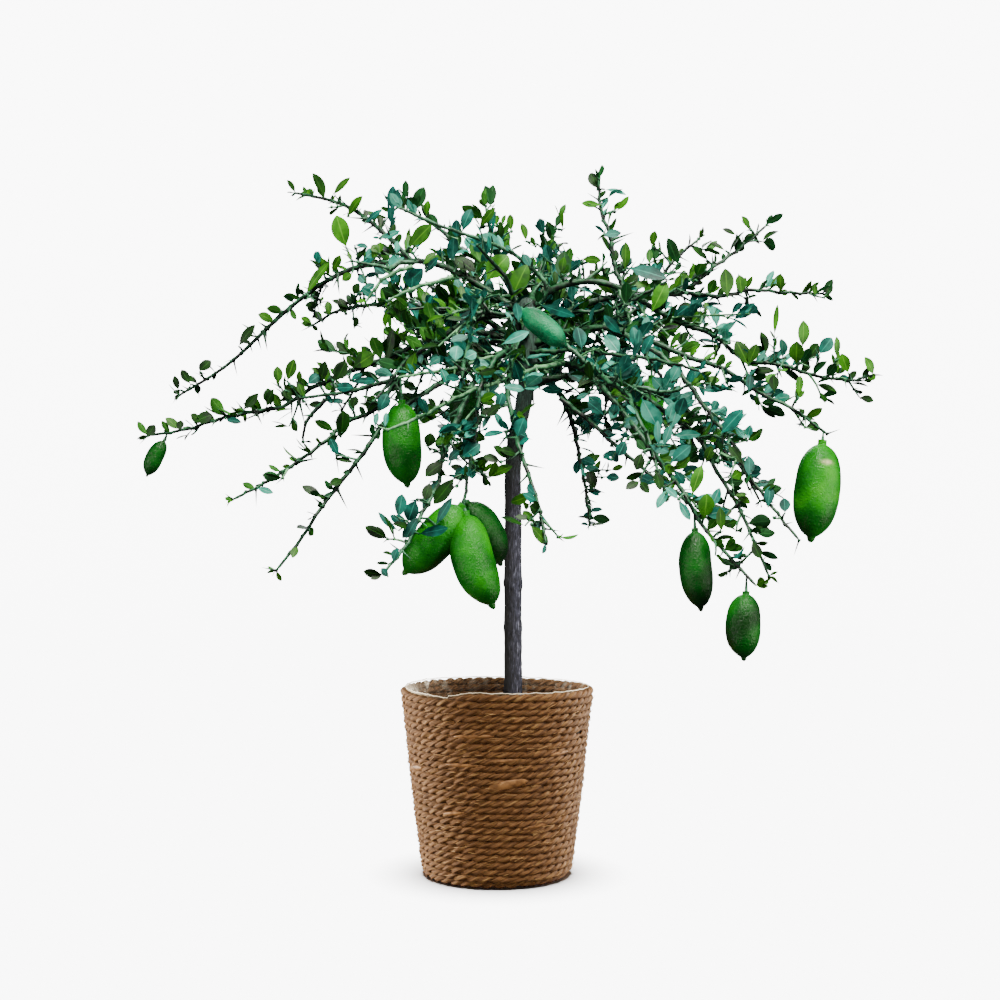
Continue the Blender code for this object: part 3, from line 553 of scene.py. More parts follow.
# The camera, in front of the plant as the photo's was
CAMERA_PLACE = Vector((0.003, -1.5, 0.342))
CAMERA_AIM = Vector((0.003, 0.0, 0.371))
CAMERA_LENS = 54
CAMERA_SENSOR = 36

# What has grown, by look: runs of points with radii, thorns and leaves
SHOOTS = defaultdict(list)
THORNS = defaultdict(list)
LEAVES = defaultdict(list)
Copy = namedtuple("Copy", "base way face size")

STEMS = {name: Line(rounded(stem_points(name), LINE_STEP)) for name in MASSES}


def away_from(places, spots):
    """How far each of some places is from each of some spots."""
    return np.sqrt(((places[:, None] - spots[None]) ** 2).sum(-1))


def as_array(points):
    """Points as rows of an array."""
    return np.array([tuple(p) for p in points])


# How the trunk and fruit are kept clear: spots down the trunk, and a fruit's size at its spots
TRUNK_SPOTS = 60
FRUIT_SPOT_SIZE = 0.95


def limb_spots():
    """Points down the middle of the trunk and the fruit, with the radius there."""
    spots = []
    for i in range(TRUNK_SPOTS):
        height = SOIL_TOP + (TRUNK_TOP - SOIL_TOP) * i / (TRUNK_SPOTS - 1)
        spots.append((trunk_axis(height), trunk_radius(height)))
    for fruit in FRUITS:
        _, top, bottom = fruit_axis(fruit)
        radius = fruit.width / 2 * FRUIT_SPOT_SIZE
        spots += [(top.lerp(bottom, s / 10), radius) for s in range(1, 10)]
    return spots


SPOT_PLACES = np.array([tuple(place) for place, _ in limb_spots()])
SPOT_RADII = np.array([radius for _, radius in limb_spots()])
STEM_PLACES = {name: as_array(line.points) for name, line in STEMS.items()}


def is_clear(points, margin=LIMB_MARGIN):
    """Whether points keep clear of the trunk and the fruit."""
    return bool((away_from(as_array(points), SPOT_PLACES) > SPOT_RADII + margin).all())


def in_own_space(point, name):
    """Whether a point is about as near its own stem as any other."""
    away = {n: away_from(places, np.array([point])).min() for n, places in STEM_PLACES.items()}
    return away[name] < min(away.values()) + SIDE_SLACK


def in_open_air(point):
    """Whether a point is in air that the crown leaves open."""
    for centre, reach in OPEN_AIR:
        away = point - centre
        if sum((away[i] / reach[i]) ** 2 for i in range(3)) < 1:
            return True
    return False


def bough_line(name):
    """A bough's line, rounded off."""
    return Line(rounded(bough_points(name), LINE_STEP))


# What stays in sight from the front: the first of the fruits, and limbs that stand out in the photo
FRONT_FRUITS = 9
OPEN_SHARES = (0.3, 0.35, 0.5, 0.65, 0.8, 0.95)
OPEN_BOUGHS = ("upper_left", "right_arch", "upper_right", "mid_left", "mid_right", "front_right")
OPEN_MASSES = (
    "rising_left", "high_left", "long_left", "leader", "long_right", "rising_right", "level_right", "fruiting_right",
    "low_front_right", "drooping_right", "hanging_right", "pale_front_left", "upper_back_right",
)
# How wide a limb is kept in sight, and how often a leaf that would hide it is left out
CANE_REACH = 0.0055
CANE_CLEAR = 0.65

# The photo's scale and where its level line of sight meets it, in pixels
FOCAL = 1500
MIDDLE_ACROSS, MIDDLE_DOWN = 500, 529
PIXELS_PER_METRE = 1000

# How far off a shown leaf's base its limb may show, and how many pixels more for each metre nearer
STALK_REACH = 38
FRONT_FIRST = 40
# A shown leaf stands before its limb by steps until it is clear, and leans to or from the viewer
SHOWN_LEAF_STEP = 0.005
SHOWN_LEAF_TRIES = 12
SHOWN_LEAF_MARGIN = 0.002
SHOWN_LEAF_LEAN = (-0.2, 0.5)
SHOWN_LEAF_WIDENING = 1.1
# Stalks to shown leaves: how far they rise, their radii, and small leaves along the longer ones
STALK_RISE = 0.12
STALK_RADII = [0.0013, 0.0011, 0.0008]
STALK_SHORTEST = 0.003
LEAFY_STALK = 0.009
STALK_LEAF_SHARES = (0.55, 0.85)
STALK_LEAF_SIZE = 0.75
STALK_LEAVES = 1.2


def seen_at(across, down, depth):
    """The point at a depth behind the basket's middle that shows at a spot of the photo."""
    reach = (depth - CAMERA_PLACE.y) / FOCAL
    aside, below = (across - MIDDLE_ACROSS) * reach, (down - MIDDLE_DOWN) * reach
    return Vector((CAMERA_PLACE.x + aside, depth, CAMERA_PLACE.z - below))


def shown_cane_line(depth, tip_depth, bends):
    """The line of a cane whose bends show at spots of the photo, between two depths."""
    last = len(bends) - 1
    points = [seen_at(*spot, between(depth, tip_depth, i / last)) for i, spot in enumerate(bends)]
    return Line(rounded(points, LINE_STEP))


def limb_places():
    """Points down every bough and stem."""
    lines = [bough_line(name) for name in BOUGHS] + list(STEMS.values())
    return as_array([p for line in lines for p in line.points[1:-1]])


LIMB_PLACES = limb_places()


def nearest_limb(across, down):
    """The limb point that shows nearest to a spot of the photo, front ones first, and how far off."""
    reach = (LIMB_PLACES[:, 1] - CAMERA_PLACE.y) / FOCAL
    aside = MIDDLE_ACROSS + (LIMB_PLACES[:, 0] - CAMERA_PLACE.x) / reach - across
    below = MIDDLE_DOWN - (LIMB_PLACES[:, 2] - CAMERA_PLACE.z) / reach - down
    away = np.hypot(aside, below)
    best = int(np.argmin(away + FRONT_FIRST * LIMB_PLACES[:, 1]))
    return Vector(LIMB_PLACES[best]), away[best]


def shown_leaves():
    """The leaves that stand out in the photo: tint, limb point, base, tip and width of each."""
    rng = random.Random("shown leaves")
    found = []
    for tint, leaves in SHOWN_LEAVES.items():
        for across, down, tip_across, tip_down, width in leaves:
            limb, away = nearest_limb(across, down)
            lean = rng.uniform(*SHOWN_LEAF_LEAN)
            if away > STALK_REACH:
                continue
            for nearer in range(1, SHOWN_LEAF_TRIES + 1):
                depth = limb.y - SHOWN_LEAF_STEP * nearer
                base, tip = seen_at(across, down, depth), seen_at(tip_across, tip_down, depth)
                tip.y -= lean * (tip - base).length
                if is_clear([base.lerp(tip, 0.5), tip], SHOWN_LEAF_MARGIN):
                    break
            found.append((tint, limb, base, tip, width / PIXELS_PER_METRE))
    return found


def front_view(spots):
    """How spots with radii lie as seen from the front: their distances, directions and radii."""
    places = np.array([tuple(place - CAMERA_PLACE) for place, _ in spots])
    reach = np.sqrt((places**2).sum(-1))
    return reach, places / reach[:, None], np.array([radius for _, radius in spots])


def hides(points, view):
    """Whether a point lies in front of any spot of a front view."""
    reach, ways, radii = view
    places = np.array([tuple(p - CAMERA_PLACE) for p in points])
    depth = places @ ways.T
    aside = np.sqrt(np.maximum(0, (places**2).sum(-1)[:, None] - depth**2))
    return bool(((aside < radii) & (depth < reach)).any())


def open_spots():
    """The parts of the front fruit and of the shown leaves that are to stay in sight."""
    spots = []
    for fruit in FRUITS[:FRONT_FRUITS]:
        _, top, bottom = fruit_axis(fruit)
        spots += [(top.lerp(bottom, share), fruit.width / 2) for share in OPEN_SHARES]
    for _, _, base, tip, width in shown_leaves():
        spots += [(base.lerp(tip, share), width * 0.5 + 0.002) for share in (0.25, 0.5, 0.75)]
    return spots


def cane_spots():
    """The middles of the limbs that are to stay mostly in sight."""
    lines = [bough_line(name) for name in OPEN_BOUGHS]
    lines += [STEMS[name] for name in OPEN_MASSES]
    lines += [shown_cane_line(*cane) for _, *cane in SHOWN_CANES]
    return [(place, CANE_REACH) for line in lines for place in line.points[1:-1]]


OPEN_VIEW = front_view(open_spots())
CANE_VIEW = front_view(cane_spots())


def spray_tint(place, rng):
    """The tint of a spray: darker tints at the crown's core as painted shade, blue greens round it, deep greens
    outside.
    """
    # Painted shade: sprays near the crown's core take the darker tints
    if rng.random() < PAINTED_SHADE_CHANCE * bump((place - CROWN_CENTRE).length, PAINTED_SHADE_SPREAD):
        return rng.choice(("deep_green", "blue_green"))
    blue = BLUE_CHANCE[0] + BLUE_CHANCE[1] * bump((place - BLUE_CENTRE).length, BLUE_SPREAD)
    tints = BLUE_TINTS if rng.random() < blue else OUTER_TINTS
    return rng.choices(tuple(tints), tints.values())[0]


def grow_leaf(base, way, out, size, tint, rng):
    angle = math.radians(rng.uniform(*LEAF_ANGLE))
    lift = Vector((0, 0, rng.uniform(*LEAF_LIFT)))
    leaf_way = (way * math.cos(angle) + out * math.sin(angle) + lift).normalized()
    outward = (base - CROWN_CENTRE).normalized()
    tilt = any_way(rng, FACE_SWAY) + outward * FACE_OUTWARD + Vector((0, 0, FACE_UP))
    face = tilt - leaf_way * tilt.dot(leaf_way)
    if face.length < NEARLY_NONE:
        face = square_to(leaf_way, 0)
    face.normalize()
    length = size * rng.uniform(*LEAF_SPREAD)
    if rng.random() < BROAD_LEAF[0]:
        length *= BROAD_LEAF[1]
    tip = base + leaf_way * length
    spots = [base.lerp(tip, 0.5), tip]
    if in_open_air(tip) or not is_clear(spots) or hides(spots, OPEN_VIEW):
        return
    if rng.random() < CANE_CLEAR and hides(spots, CANE_VIEW):
        return
    width = length * rng.uniform(*LEAF_WIDTH)
    LEAVES[tint].append(Copy(base, leaf_way, face, (length, width, length * rng.uniform(*LEAF_DEPTH))))


def grow_thorn(base, way, length, width, look, rng):
    angle = math.radians(THORN_ANGLE)
    thorn_way = way * math.cos(angle) + square_to(way, rng.uniform(0, 360)) * math.sin(angle)
    if is_clear([base + thorn_way * length], THORN_MARGIN):
        THORNS[look].append(Copy(base, thorn_way, square_to(thorn_way, 0), (length, width, width)))


def grow_small_thorn(base, way, look, rng):
    grow_thorn(base, way, rng.uniform(*SMALL_THORN_LENGTH), SMALL_THORN_WIDTH, look, rng)


def grow_leaves(base, way, size, tint, rng, leaves):
    """About so many leaves at a node, which stand mostly on its upper side."""
    for _ in range(max(0, round(rng.gauss(leaves, LEAVES_SPREAD)))):
        out = square_to(way, UPWARD + rng.gauss(0, LEAF_SIDES))
        grow_leaf(base, way, out, size, tint, rng)


def walk(line, distance, end, step, spread, rng):
    """Walks a line from bud to bud: the distance, place and way of each, and its turn round the line."""
    turn = rng.uniform(0, 360)
    while distance < end:
        yield distance, *line.at(distance), turn
        turn += TURN
        distance += step * rng.uniform(*spread)


def grow_side_shoot(base, way, out, length, look, rng, owner=None, slimness=1):
    """A side shoot with leaves and thorns, and twigs of its own where it is long."""
    angle = math.radians(SIDE_ANGLE + rng.uniform(-SIDE_ANGLE_SPREAD, SIDE_ANGLE_SPREAD))
    first = (way * math.cos(angle) + out * math.sin(angle) + Vector((0, 0, SIDE_LIFT))).normalized()
    length *= 1 - RISING_SHORTENING * max(0, first.z)
    bend = any_way(rng, SIDE_BEND)
    points = [base + (first + bend * s) * length * s for s in (0, 0.25, 0.5, 0.75, 1)]
    if in_open_air(points[-1]) or not is_clear(points[1:]) or hides(points[2:], OPEN_VIEW):
        return
    if owner and not in_own_space(points[-1], owner):
        return
    line = Line(points)
    radii = [slimness * between(SIDE_RADIUS, SIDE_TIP_RADIUS, s / 4) for s in range(5)]
    SHOOTS[look].append((points, radii))
    tint = spray_tint(points[-1], rng)
    distance = line.length
    while distance > SIDE_BARE_START:
        spot, spot_way = line.at(distance)
        if rng.random() < SIDE_THORN_CHANCE:
            grow_small_thorn(spot, spot_way, look, rng)
        size = LEAF_LENGTH * (SIDE_LEAF_SIZE + SIDE_LEAF_GAIN * distance / line.length)
        grow_leaves(spot, spot_way, size, tint, rng, SIDE_LEAVES)
        distance -= SIDE_NODE_STEP * rng.uniform(*SIDE_NODE_SPREAD)
    if length < FORKED_FROM:
        return
    first_twig = TWIG_STEP * rng.uniform(0.5, 1)
    for _, spot, spot_way, turn in walk(line, first_twig, length * TWIGS_END, TWIG_STEP, TWIG_SPREAD, rng):
        twig = rng.uniform(*TWIG_LENGTH)
        grow_side_shoot(spot, spot_way, square_to(spot_way, turn), twig, look, rng, owner, TWIG_SLIMMING)


def grow_cane(line, radii, look, leaves, rng):
    """A cane with a kink, a thorn and leaves at each node, and small leaves at its tip."""
    distances = [0.0]
    while distances[-1] < line.length - NODE_STEP:
        distances.append(distances[-1] + NODE_STEP * rng.uniform(*NODE_SPREAD))
    distances[-1] = line.length
    kink = square_to(line.at(line.length / 2)[1], rng.uniform(0, 180)) * ZIGZAG
    points, thick = [], []
    for i, distance in enumerate(distances):
        radius = CANE_SLIMNESS * between(*radii, distance / line.length)
        inner = 1 < i < len(distances) - 1
        if i:
            before = distances[i - 1]
            for part in (0.25, 0.75):
                sway = kink * (-1) ** i * (part - 0.5) * inner
                points.append(line.at(before + (distance - before) * part)[0] + sway)
                thick.append(radius)
        points.append(line.at(distance)[0] + kink * (-1) ** i * (0 < i < len(distances) - 1))
        thick.append(radius * NODE_SWELL)
    thick[-1] = radii[1] * 0.5
    SHOOTS[look].append((points, thick))
    tint = spray_tint(line.points[-1], rng)
    for i, distance in enumerate(distances):
        if distance < BARE_START:
            continue
        place, way = points[i * 3], line.at(distance)[1]
        share = distance / line.length
        if rng.random() < CANE_THORN_CHANCE:
            length = rng.uniform(*THORN_LENGTH) * (1 - THORN_SHORTENING * share)
            grow_thorn(place, way, length, THORN_WIDTH * (1 - THORN_SLIMMING * share), look, rng)
        grow_leaves(place, way, LEAF_LENGTH * (1 - LEAF_SHORTENING * share), tint, rng, leaves)
        if rng.random() < TINT_CHANGE:
            tint = spray_tint(place, rng)
    for _ in range(TIP_LEAVES):
        grow_leaf(points[-1], way, square_to(way, rng.uniform(0, 360)), LEAF_LENGTH * TIP_LEAF_SHARE, tint, rng)


def grow_shown_canes():
    """The canes that cross the crown's front in the photo."""
    rng = random.Random("shown canes")
    for look, *cane in SHOWN_CANES:
        grow_cane(shown_cane_line(*cane), SHOWN_CANE_RADII, look, SHOWN_CANE_LEAVES, rng)


def grow_shown_leaves():
    """The leaves that stand out in the photo, each on a short stalk from the nearest limb."""
    rng = random.Random("shown leaf faces")
    for tint, limb, base, tip, width in shown_leaves():
        way = (tip - base).normalized()
        face = Vector((rng.uniform(-0.5, 0.5), -1, rng.uniform(-0.2, 0.7)))
        face = (face - way * face.dot(way)).normalized()
        length = (tip - base).length
        size = (length, width * SHOWN_LEAF_WIDENING, length * rng.uniform(*LEAF_DEPTH))
        LEAVES[tint].append(Copy(base, way, face, size))
        stalk = (base - limb).length
        if stalk > STALK_SHORTEST:
            middle = limb.lerp(base, 0.5) + Vector((0, 0, STALK_RISE * stalk))
            SHOOTS["green_shoot"].append(([limb, middle, base], STALK_RADII))
        for share in STALK_LEAF_SHARES if stalk > LEAFY_STALK else ():
            spot = limb.lerp(base, share)
            stalk_way = (base - limb).normalized()
            grow_leaves(spot, stalk_way, LEAF_LENGTH * STALK_LEAF_SIZE, tint, rng, STALK_LEAVES)
            grow_small_thorn(spot, way, "green_shoot", rng)
    for across, down, tip_across, tip_down in SHOWN_THORNS:
        limb, away = nearest_limb(across, down)
        if away < STALK_REACH / 3:
            thorn = seen_at(tip_across, tip_down, limb.y - 0.006) - limb
            way, size = thorn.normalized(), (thorn.length, THORN_WIDTH, THORN_WIDTH)
            THORNS["old_shoot"].append(Copy(limb, way, square_to(way, 0), size))


def shoot_look(rng):
    return rng.choices(("green_shoot", "pale_shoot"), (0.7, 0.3))[0]


def grow_mass(name):
    """A mass's cane along its stem, and its side shoots."""
    rng = random.Random("shoot " + name)
    line = STEMS[name]
    look = "pale_shoot" if name in PALE_CANES else "green_shoot" if name in GREEN_CANES else "old_shoot"
    habit = HABITS.get(name, FULL)
    grow_cane(line, (STEM_ROOT_RADIUS, STEM_TIP_RADIUS), look, habit.leaves, rng)
    for distance, place, way, turn in walk(line, BARE_START, line.length - BARE_TIP, SIDE_STEP, SIDE_SPREAD, rng):
        share = distance / line.length
        length = SIDE_LENGTH * (1 - SIDE_SHORTENING * share) * rng.uniform(*SIDE_SHARES)
        length *= 1 + (habit.length - 1) * smooth(share / 0.5)
        out = square_to(way, turn + rng.uniform(-TURN_SWAY, TURN_SWAY))
        if rng.random() < between(habit.root, habit.tip, smooth(share / 0.6)):
            grow_side_shoot(place, way, out, length, shoot_look(rng), rng, name)


def grow_on_bough(name):
    """Leafy side shoots along a bough, and a few canes that cross the crown from it."""
    rng = random.Random("bough " + name)
    line = bough_line(name)
    for _, place, way, turn in walk(line, line.length * BOUGH_BARE, line.length, SIDE_STEP, SIDE_SPREAD, rng):
        if rng.random() < BOUGH_THORN_CHANCE:
            thorn = rng.uniform(*THORN_LENGTH) * BOUGH_THORNS
            grow_thorn(place, way, thorn, THORN_WIDTH, "old_shoot", rng)
        length = SIDE_LENGTH * BOUGH_SIDES * rng.uniform(*SIDE_SHARES)
        grow_side_shoot(place, way, square_to(way, turn), length, shoot_look(rng), rng)
    for i in range(CROSSINGS):
        share = CROSSINGS_START + CROSSINGS_SPAN * (i + rng.random()) / CROSSINGS
        place, way = line.at(line.length * share)
        angle = math.radians(rng.uniform(*CROSSING_ANGLE))
        first = way * math.cos(angle) + square_to(way, rng.uniform(0, 360)) * math.sin(angle)
        length = rng.uniform(*CROSSING_LENGTH)
        bend = any_way(rng, CROSSING_BEND)
        points = [place + (first + bend * s) * length * s for s in (0, 0.2, 0.4, 0.6, 0.8, 1)]
        end = points[-1] - CROWN_CENTRE
        inside = math.hypot(end.x, end.y) < CROWN_REACH and CROWN_LOW < points[-1].z < CROWN_TOP
        hidden = hides(points, OPEN_VIEW) or any(map(in_open_air, points))
        if inside and is_clear(points[1:]) and not hidden:
            look = rng.choice(("old_shoot", "green_shoot", "pale_shoot"))
            grow_cane(Line(points), CROSSING_RADII, look, CROSSING_LEAVES, rng)


# Kinds of node that are used often
MATHS, VECTORS, MIX, SPAN = "ShaderNodeMath", "ShaderNodeVectorMath", "ShaderNodeMix", "ShaderNodeMapRange"
NOISE, CELLS, RAMP, BUMP = "ShaderNodeTexNoise", "ShaderNodeTexVoronoi", "ShaderNodeValToRGB", "ShaderNodeBump"
SPOT, PAINTED, STRETCH = "ShaderNodeTexCoord", "ShaderNodeAttribute", "ShaderNodeMapping"
CARRIED, SWEEP = "GeometryNodeInputNamedAttribute", "GeometryNodeCurveToMesh"
BLEND = {"data_type": "RGBA"}
TIMES = {"data_type": "RGBA", "blend_type": "MULTIPLY"}


def add(tree, kind, inputs=(), stops=(), caught=(), **settings):
    """Adds a node with its settings and what feeds it, by name or in order, and gives its outputs.

    A ramp has stops, each a place and an sRGB hex value or a level of grey. A node that keeps
    values on points is given what it has caught, each a name, its kind and its value.
    """
    made = tree.nodes.new(kind)
    for name, value in settings.items():
        setattr(made, name, value)
    links = inputs if isinstance(inputs, dict) else dict(enumerate(inputs))
    for name, value_kind, value in caught:
        made.capture_items.new(value_kind, name)
        links[name] = value
    for key, value in links.items():
        if isinstance(value, bpy.types.NodeSocket):
            tree.links.new(value, made.inputs[key])
        else:
            made.inputs[key].default_value = value
    for i, (place, colour) in enumerate(stops):
        ramp = made.color_ramp.elements
        stop = ramp[i] if i < len(ramp) else ramp.new(place)
        stop.position = place
        stop.color = hex_colour(colour) if isinstance(colour, str) else grey(colour)
    return made.outputs


def hex_colour(code):
    """A linear colour from an sRGB hex value."""
    parts = [int(code[i : i + 2], 16) / 255 for i in (1, 3, 5)]
    return (*[p / 12.92 if p <= 0.04045 else ((p + 0.055) / 1.055) ** 2.4 for p in parts], 1)


def grey(level):
    return (level, level, level, 1)


def new_tree(name, inputs):
    """A Geometry Nodes tree with a Geometry input, named inputs and a Geometry output."""
    tree = bpy.data.node_groups.new(name, "GeometryNodeTree")
    face = tree.interface
    for label, kind in {"Geometry": "Geometry", **inputs}.items():
        face.new_socket(label, in_out="INPUT", socket_type="NodeSocket" + kind)
    face.new_socket("Geometry", in_out="OUTPUT", socket_type="NodeSocketGeometry")
    return tree, add(tree, "NodeGroupInput")


def end_tree(tree, mesh, *coats):
    """Makes a tree's copies real and hands them out coated: each coat is a finish and where it goes."""
    made = add(tree, "GeometryNodeRealizeInstances", [mesh])["Geometry"]
    for finish, where in coats:
        links = {"Geometry": made, "Material": finish, "Selection": where}
        made = add(tree, "GeometryNodeSetMaterial", links)["Geometry"]
    add(tree, "NodeGroupOutput", [made])
    return tree


def shoot_tree():
    """Sweeps a round section along runs of edges, as thick as each point says."""
    tree, given = new_tree("swept_shoots", {"Sides": "Int", "Bark": "Material"})
    line = add(tree, "GeometryNodeMeshToCurve", [given["Geometry"]])["Curve"]
    section = add(tree, "GeometryNodeCurvePrimitiveCircle", {"Resolution": given["Sides"], "Radius": 1.0})["Curve"]
    thick = add(tree, CARRIED, ["thickness"], data_type="FLOAT")["Attribute"]
    links = {"Curve": line, "Profile Curve": section, "Scale": thick, "Fill Caps": True}
    mesh = add(tree, SWEEP, links)["Mesh"]
    return end_tree(tree, add(tree, "GeometryNodeSetShadeSmooth", [mesh])["Geometry"], (given["Bark"], True))


def copies_tree():
    """Sets a shape on every point, turned and sized by the point, its underside in a finish of its own."""
    tree, given = new_tree("set_copies", {"Shape": "Object", "Upper": "Material", "Under": "Material"})
    links = {
        "Points": given["Geometry"],
        "Instance": add(tree, "GeometryNodeObjectInfo", {"Object": given["Shape"]})["Geometry"],
        "Rotation": add(tree, CARRIED, ["turn"], data_type="QUATERNION")["Attribute"],
        "Scale": add(tree, CARRIED, ["size"], data_type="FLOAT_VECTOR")["Attribute"],
    }
    placed = add(tree, "GeometryNodeInstanceOnPoints", links)["Instances"]
    under = add(tree, CARRIED, ["under"], data_type="BOOLEAN")["Attribute"]
    return end_tree(tree, placed, (given["Upper"], True), (given["Under"], under))


ROPE_INPUTS = ("Ply Radius", "Ply Reach", "Ply Rise", "Ridges", "Ridge Depth", "Twist Length", "Unevenness", "Start")
ROPE_SIDES = 16
RIPPLE_SCALE = 95.0
RIPPLE_SWING = 3.2
PLY_SHIFT = 31.7
STRAND_SHIFT = 50.0


def rope_tree():
    """Twists two ridged plies round a coil's line. Each keeps where a point is along and round it."""
    inputs = {**dict.fromkeys(ROPE_INPUTS, "Float"), "Grass": "Material"}
    tree, given = new_tree("twisted_rope", inputs)
    here = add(tree, "GeometryNodeInputPosition")["Position"]
    spline = add(tree, "GeometryNodeSplineParameter")
    line = add(tree, "GeometryNodeMeshToCurve", [given["Geometry"]])["Curve"]
    level = add(tree, "GeometryNodeSetCurveNormal", [line], mode="Z_UP")["Curve"]
    plies = add(tree, "GeometryNodeDuplicateElements", {"Geometry": level, "Amount": 2}, domain="SPLINE")
    ply = plies["Duplicate Index"]
    along = add(tree, MATHS, (spline["Length"], given["Start"]), operation="ADD")[0]
    shift = add(tree, MATHS, (ply, PLY_SHIFT), operation="MULTIPLY")[0]
    wave = {"W": shift, "Vector": here, "Scale": RIPPLE_SCALE, "Detail": 2.0}
    ripple = add(tree, NOISE, wave, noise_dimensions="4D")["Fac"]
    ripple = add(tree, MATHS, (ripple, 0.5), operation="SUBTRACT")[0]
    turns = add(tree, MATHS, (along, given["Twist Length"]), operation="DIVIDE")[0]
    swing = add(tree, MATHS, (ripple, RIPPLE_SWING), operation="MULTIPLY")[0]
    start = add(tree, MATHS, (ply, math.pi, swing), operation="MULTIPLY_ADD")[0]
    angle = add(tree, MATHS, (turns, math.tau, start), operation="MULTIPLY_ADD")[0]
    thick = add(tree, CARRIED, ["thickness"], data_type="FLOAT")["Attribute"]
    level = add(tree, VECTORS, (here, (1, 1, 0)), operation="MULTIPLY")["Vector"]
    outward = add(tree, VECTORS, [level], operation="NORMALIZE")["Vector"]
    parts = []
    for swung, most, way in (("COSINE", "Ply Reach", outward), ("SINE", "Ply Rise", (0, 0, 1))):
        share = add(tree, MATHS, [angle], operation=swung)[0]
        reach = add(tree, MATHS, (share, given[most]), operation="MULTIPLY")[0]
        reach = add(tree, MATHS, (reach, thick), operation="MULTIPLY")[0]
        parts.append(add(tree, VECTORS, {0: way, "Scale": reach}, operation="SCALE")["Vector"])
    size = add(tree, MATHS, (ripple, given["Unevenness"], 1.0), operation="MULTIPLY_ADD")[0]
    caught = add(tree, "GeometryNodeCaptureAttribute", {"Geometry": plies["Geometry"]}, caught=(
        ("Along", "FLOAT", along),
        ("Offset", "VECTOR", add(tree, VECTORS, parts, operation="ADD")["Vector"]),
        ("Size", "FLOAT", add(tree, MATHS, (size, thick), operation="MULTIPLY")[0]),
        ("Ply", "FLOAT", ply),
        ("Middle", "VECTOR", here),
    ))
    links = {"Geometry": caught["Geometry"], "Offset": caught["Offset"]}
    moved = add(tree, "GeometryNodeSetPosition", links)["Geometry"]
    tilt = add(tree, MATHS, (turns, math.tau * FIBRE_TURNS), operation="MULTIPLY")[0]
    turned = add(tree, "GeometryNodeSetCurveTilt", {"Curve": moved, "Tilt": tilt})["Curve"]

    links = {"Resolution": ROPE_SIDES, "Radius": given["Ply Radius"]}
    section = add(tree, "GeometryNodeCurvePrimitiveCircle", links)["Curve"]
    share = add(tree, "GeometryNodeSplineParameter")["Factor"]
    turn = add(tree, MATHS, (share, math.tau), operation="MULTIPLY")[0]
    wavy = add(tree, MATHS, (turn, given["Ridges"]), operation="MULTIPLY")[0]
    wavy = add(tree, MATHS, [wavy], operation="COSINE")[0]
    ridge = add(tree, MATHS, (wavy, given["Ridge Depth"], 1.0), operation="MULTIPLY_ADD")[0]
    ridged = add(tree, VECTORS, {0: here, "Scale": ridge}, operation="SCALE")["Vector"]
    section = add(tree, "GeometryNodeSetPosition", {"Geometry": section, "Position": ridged})["Geometry"]
    catch = [("Round", "FLOAT", share)]
    around = add(tree, "GeometryNodeCaptureAttribute", {"Geometry": section}, caught=catch)
    links = {"Curve": turned, "Profile Curve": around["Geometry"], "Scale": caught["Size"], "Fill Caps": True}
    mesh = add(tree, SWEEP, links)["Mesh"]
    turn = add(tree, MATHS, (around["Round"], math.tau), operation="MULTIPLY")[0]
    strand = {"Z": add(tree, MATHS, (caught["Ply"], STRAND_SHIFT, caught["Along"]), operation="MULTIPLY_ADD")[0]}
    for key, swung in (("X", "COSINE"), ("Y", "SINE")):
        share = add(tree, MATHS, [turn], operation=swung)[0]
        strand[key] = add(tree, MATHS, (share, 0.5), operation="MULTIPLY")[0]
    level = add(tree, VECTORS, (caught["Middle"], (1, 1, 0)), operation="MULTIPLY")["Vector"]
    outward = add(tree, VECTORS, [level], operation="NORMALIZE")["Vector"]
    away = add(tree, VECTORS, (here, caught["Middle"]), operation="SUBTRACT")["Vector"]
    proud = add(tree, VECTORS, (away, outward), operation="DOT_PRODUCT")["Value"]
    # How proud each point stands; the grass finish paints the low ones darker as shade
    kept = (
        ("strand", "FLOAT_VECTOR", add(tree, "ShaderNodeCombineXYZ", strand)["Vector"]),
        ("proud", "FLOAT", add(tree, MATHS, (proud, ROPE_HALF), operation="DIVIDE")[0]),
    )
    for name, kind, value in kept:
        links = {"Geometry": mesh, "Name": name, "Value": value}
        mesh = add(tree, "GeometryNodeStoreNamedAttribute", links, data_type=kind, domain="POINT")["Geometry"]
    return end_tree(tree, add(tree, "GeometryNodeSetShadeSmooth", [mesh])["Geometry"], (given["Grass"], True))


def new_piece(name, data):
    made = bpy.data.objects.new(name, data)
    bpy.context.scene.collection.objects.link(made)
    return made


def through_tree(name, mesh, tree, values):
    """The mesh that a tree makes of a mesh, as a finished piece. Inputs are set by identifier."""
    made = new_piece(name, mesh)
    grown = made.modifiers.new("grown", "NODES")
    grown.node_group = tree
    for item in tree.interface.items_tree:
        if item.in_out == "INPUT" and item.name in values:
            grown[item.identifier] = values[item.name]
    graph = bpy.context.evaluated_depsgraph_get()
    finished = bpy.data.meshes.new_from_object(made.evaluated_get(graph))
    made.modifiers.clear()
    made.data = finished
    return made


def settle(piece, slot, *nodes):
    """The piece rides with the plant and stands for its nodes. Its slot is not used."""
    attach(piece, BODY)
    if nodes:
        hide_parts(*nodes)
    return piece


def runs_mesh(name, runs):
    """One mesh of edges along many runs of points, with the thickness at each point."""
    places, edges, thick = [], [], []
    for points, radii in runs:
        start = len(places)
        places += [tuple(p) for p in points]
        thick += radii
        edges += [(start + i, start + i + 1) for i in range(len(points) - 1)]
    mesh = bpy.data.meshes.new(name)
    mesh.from_pydata(places, edges, [])
    mesh.attributes.new("thickness", "FLOAT", "POINT").data.foreach_set("value", thick)
    return mesh


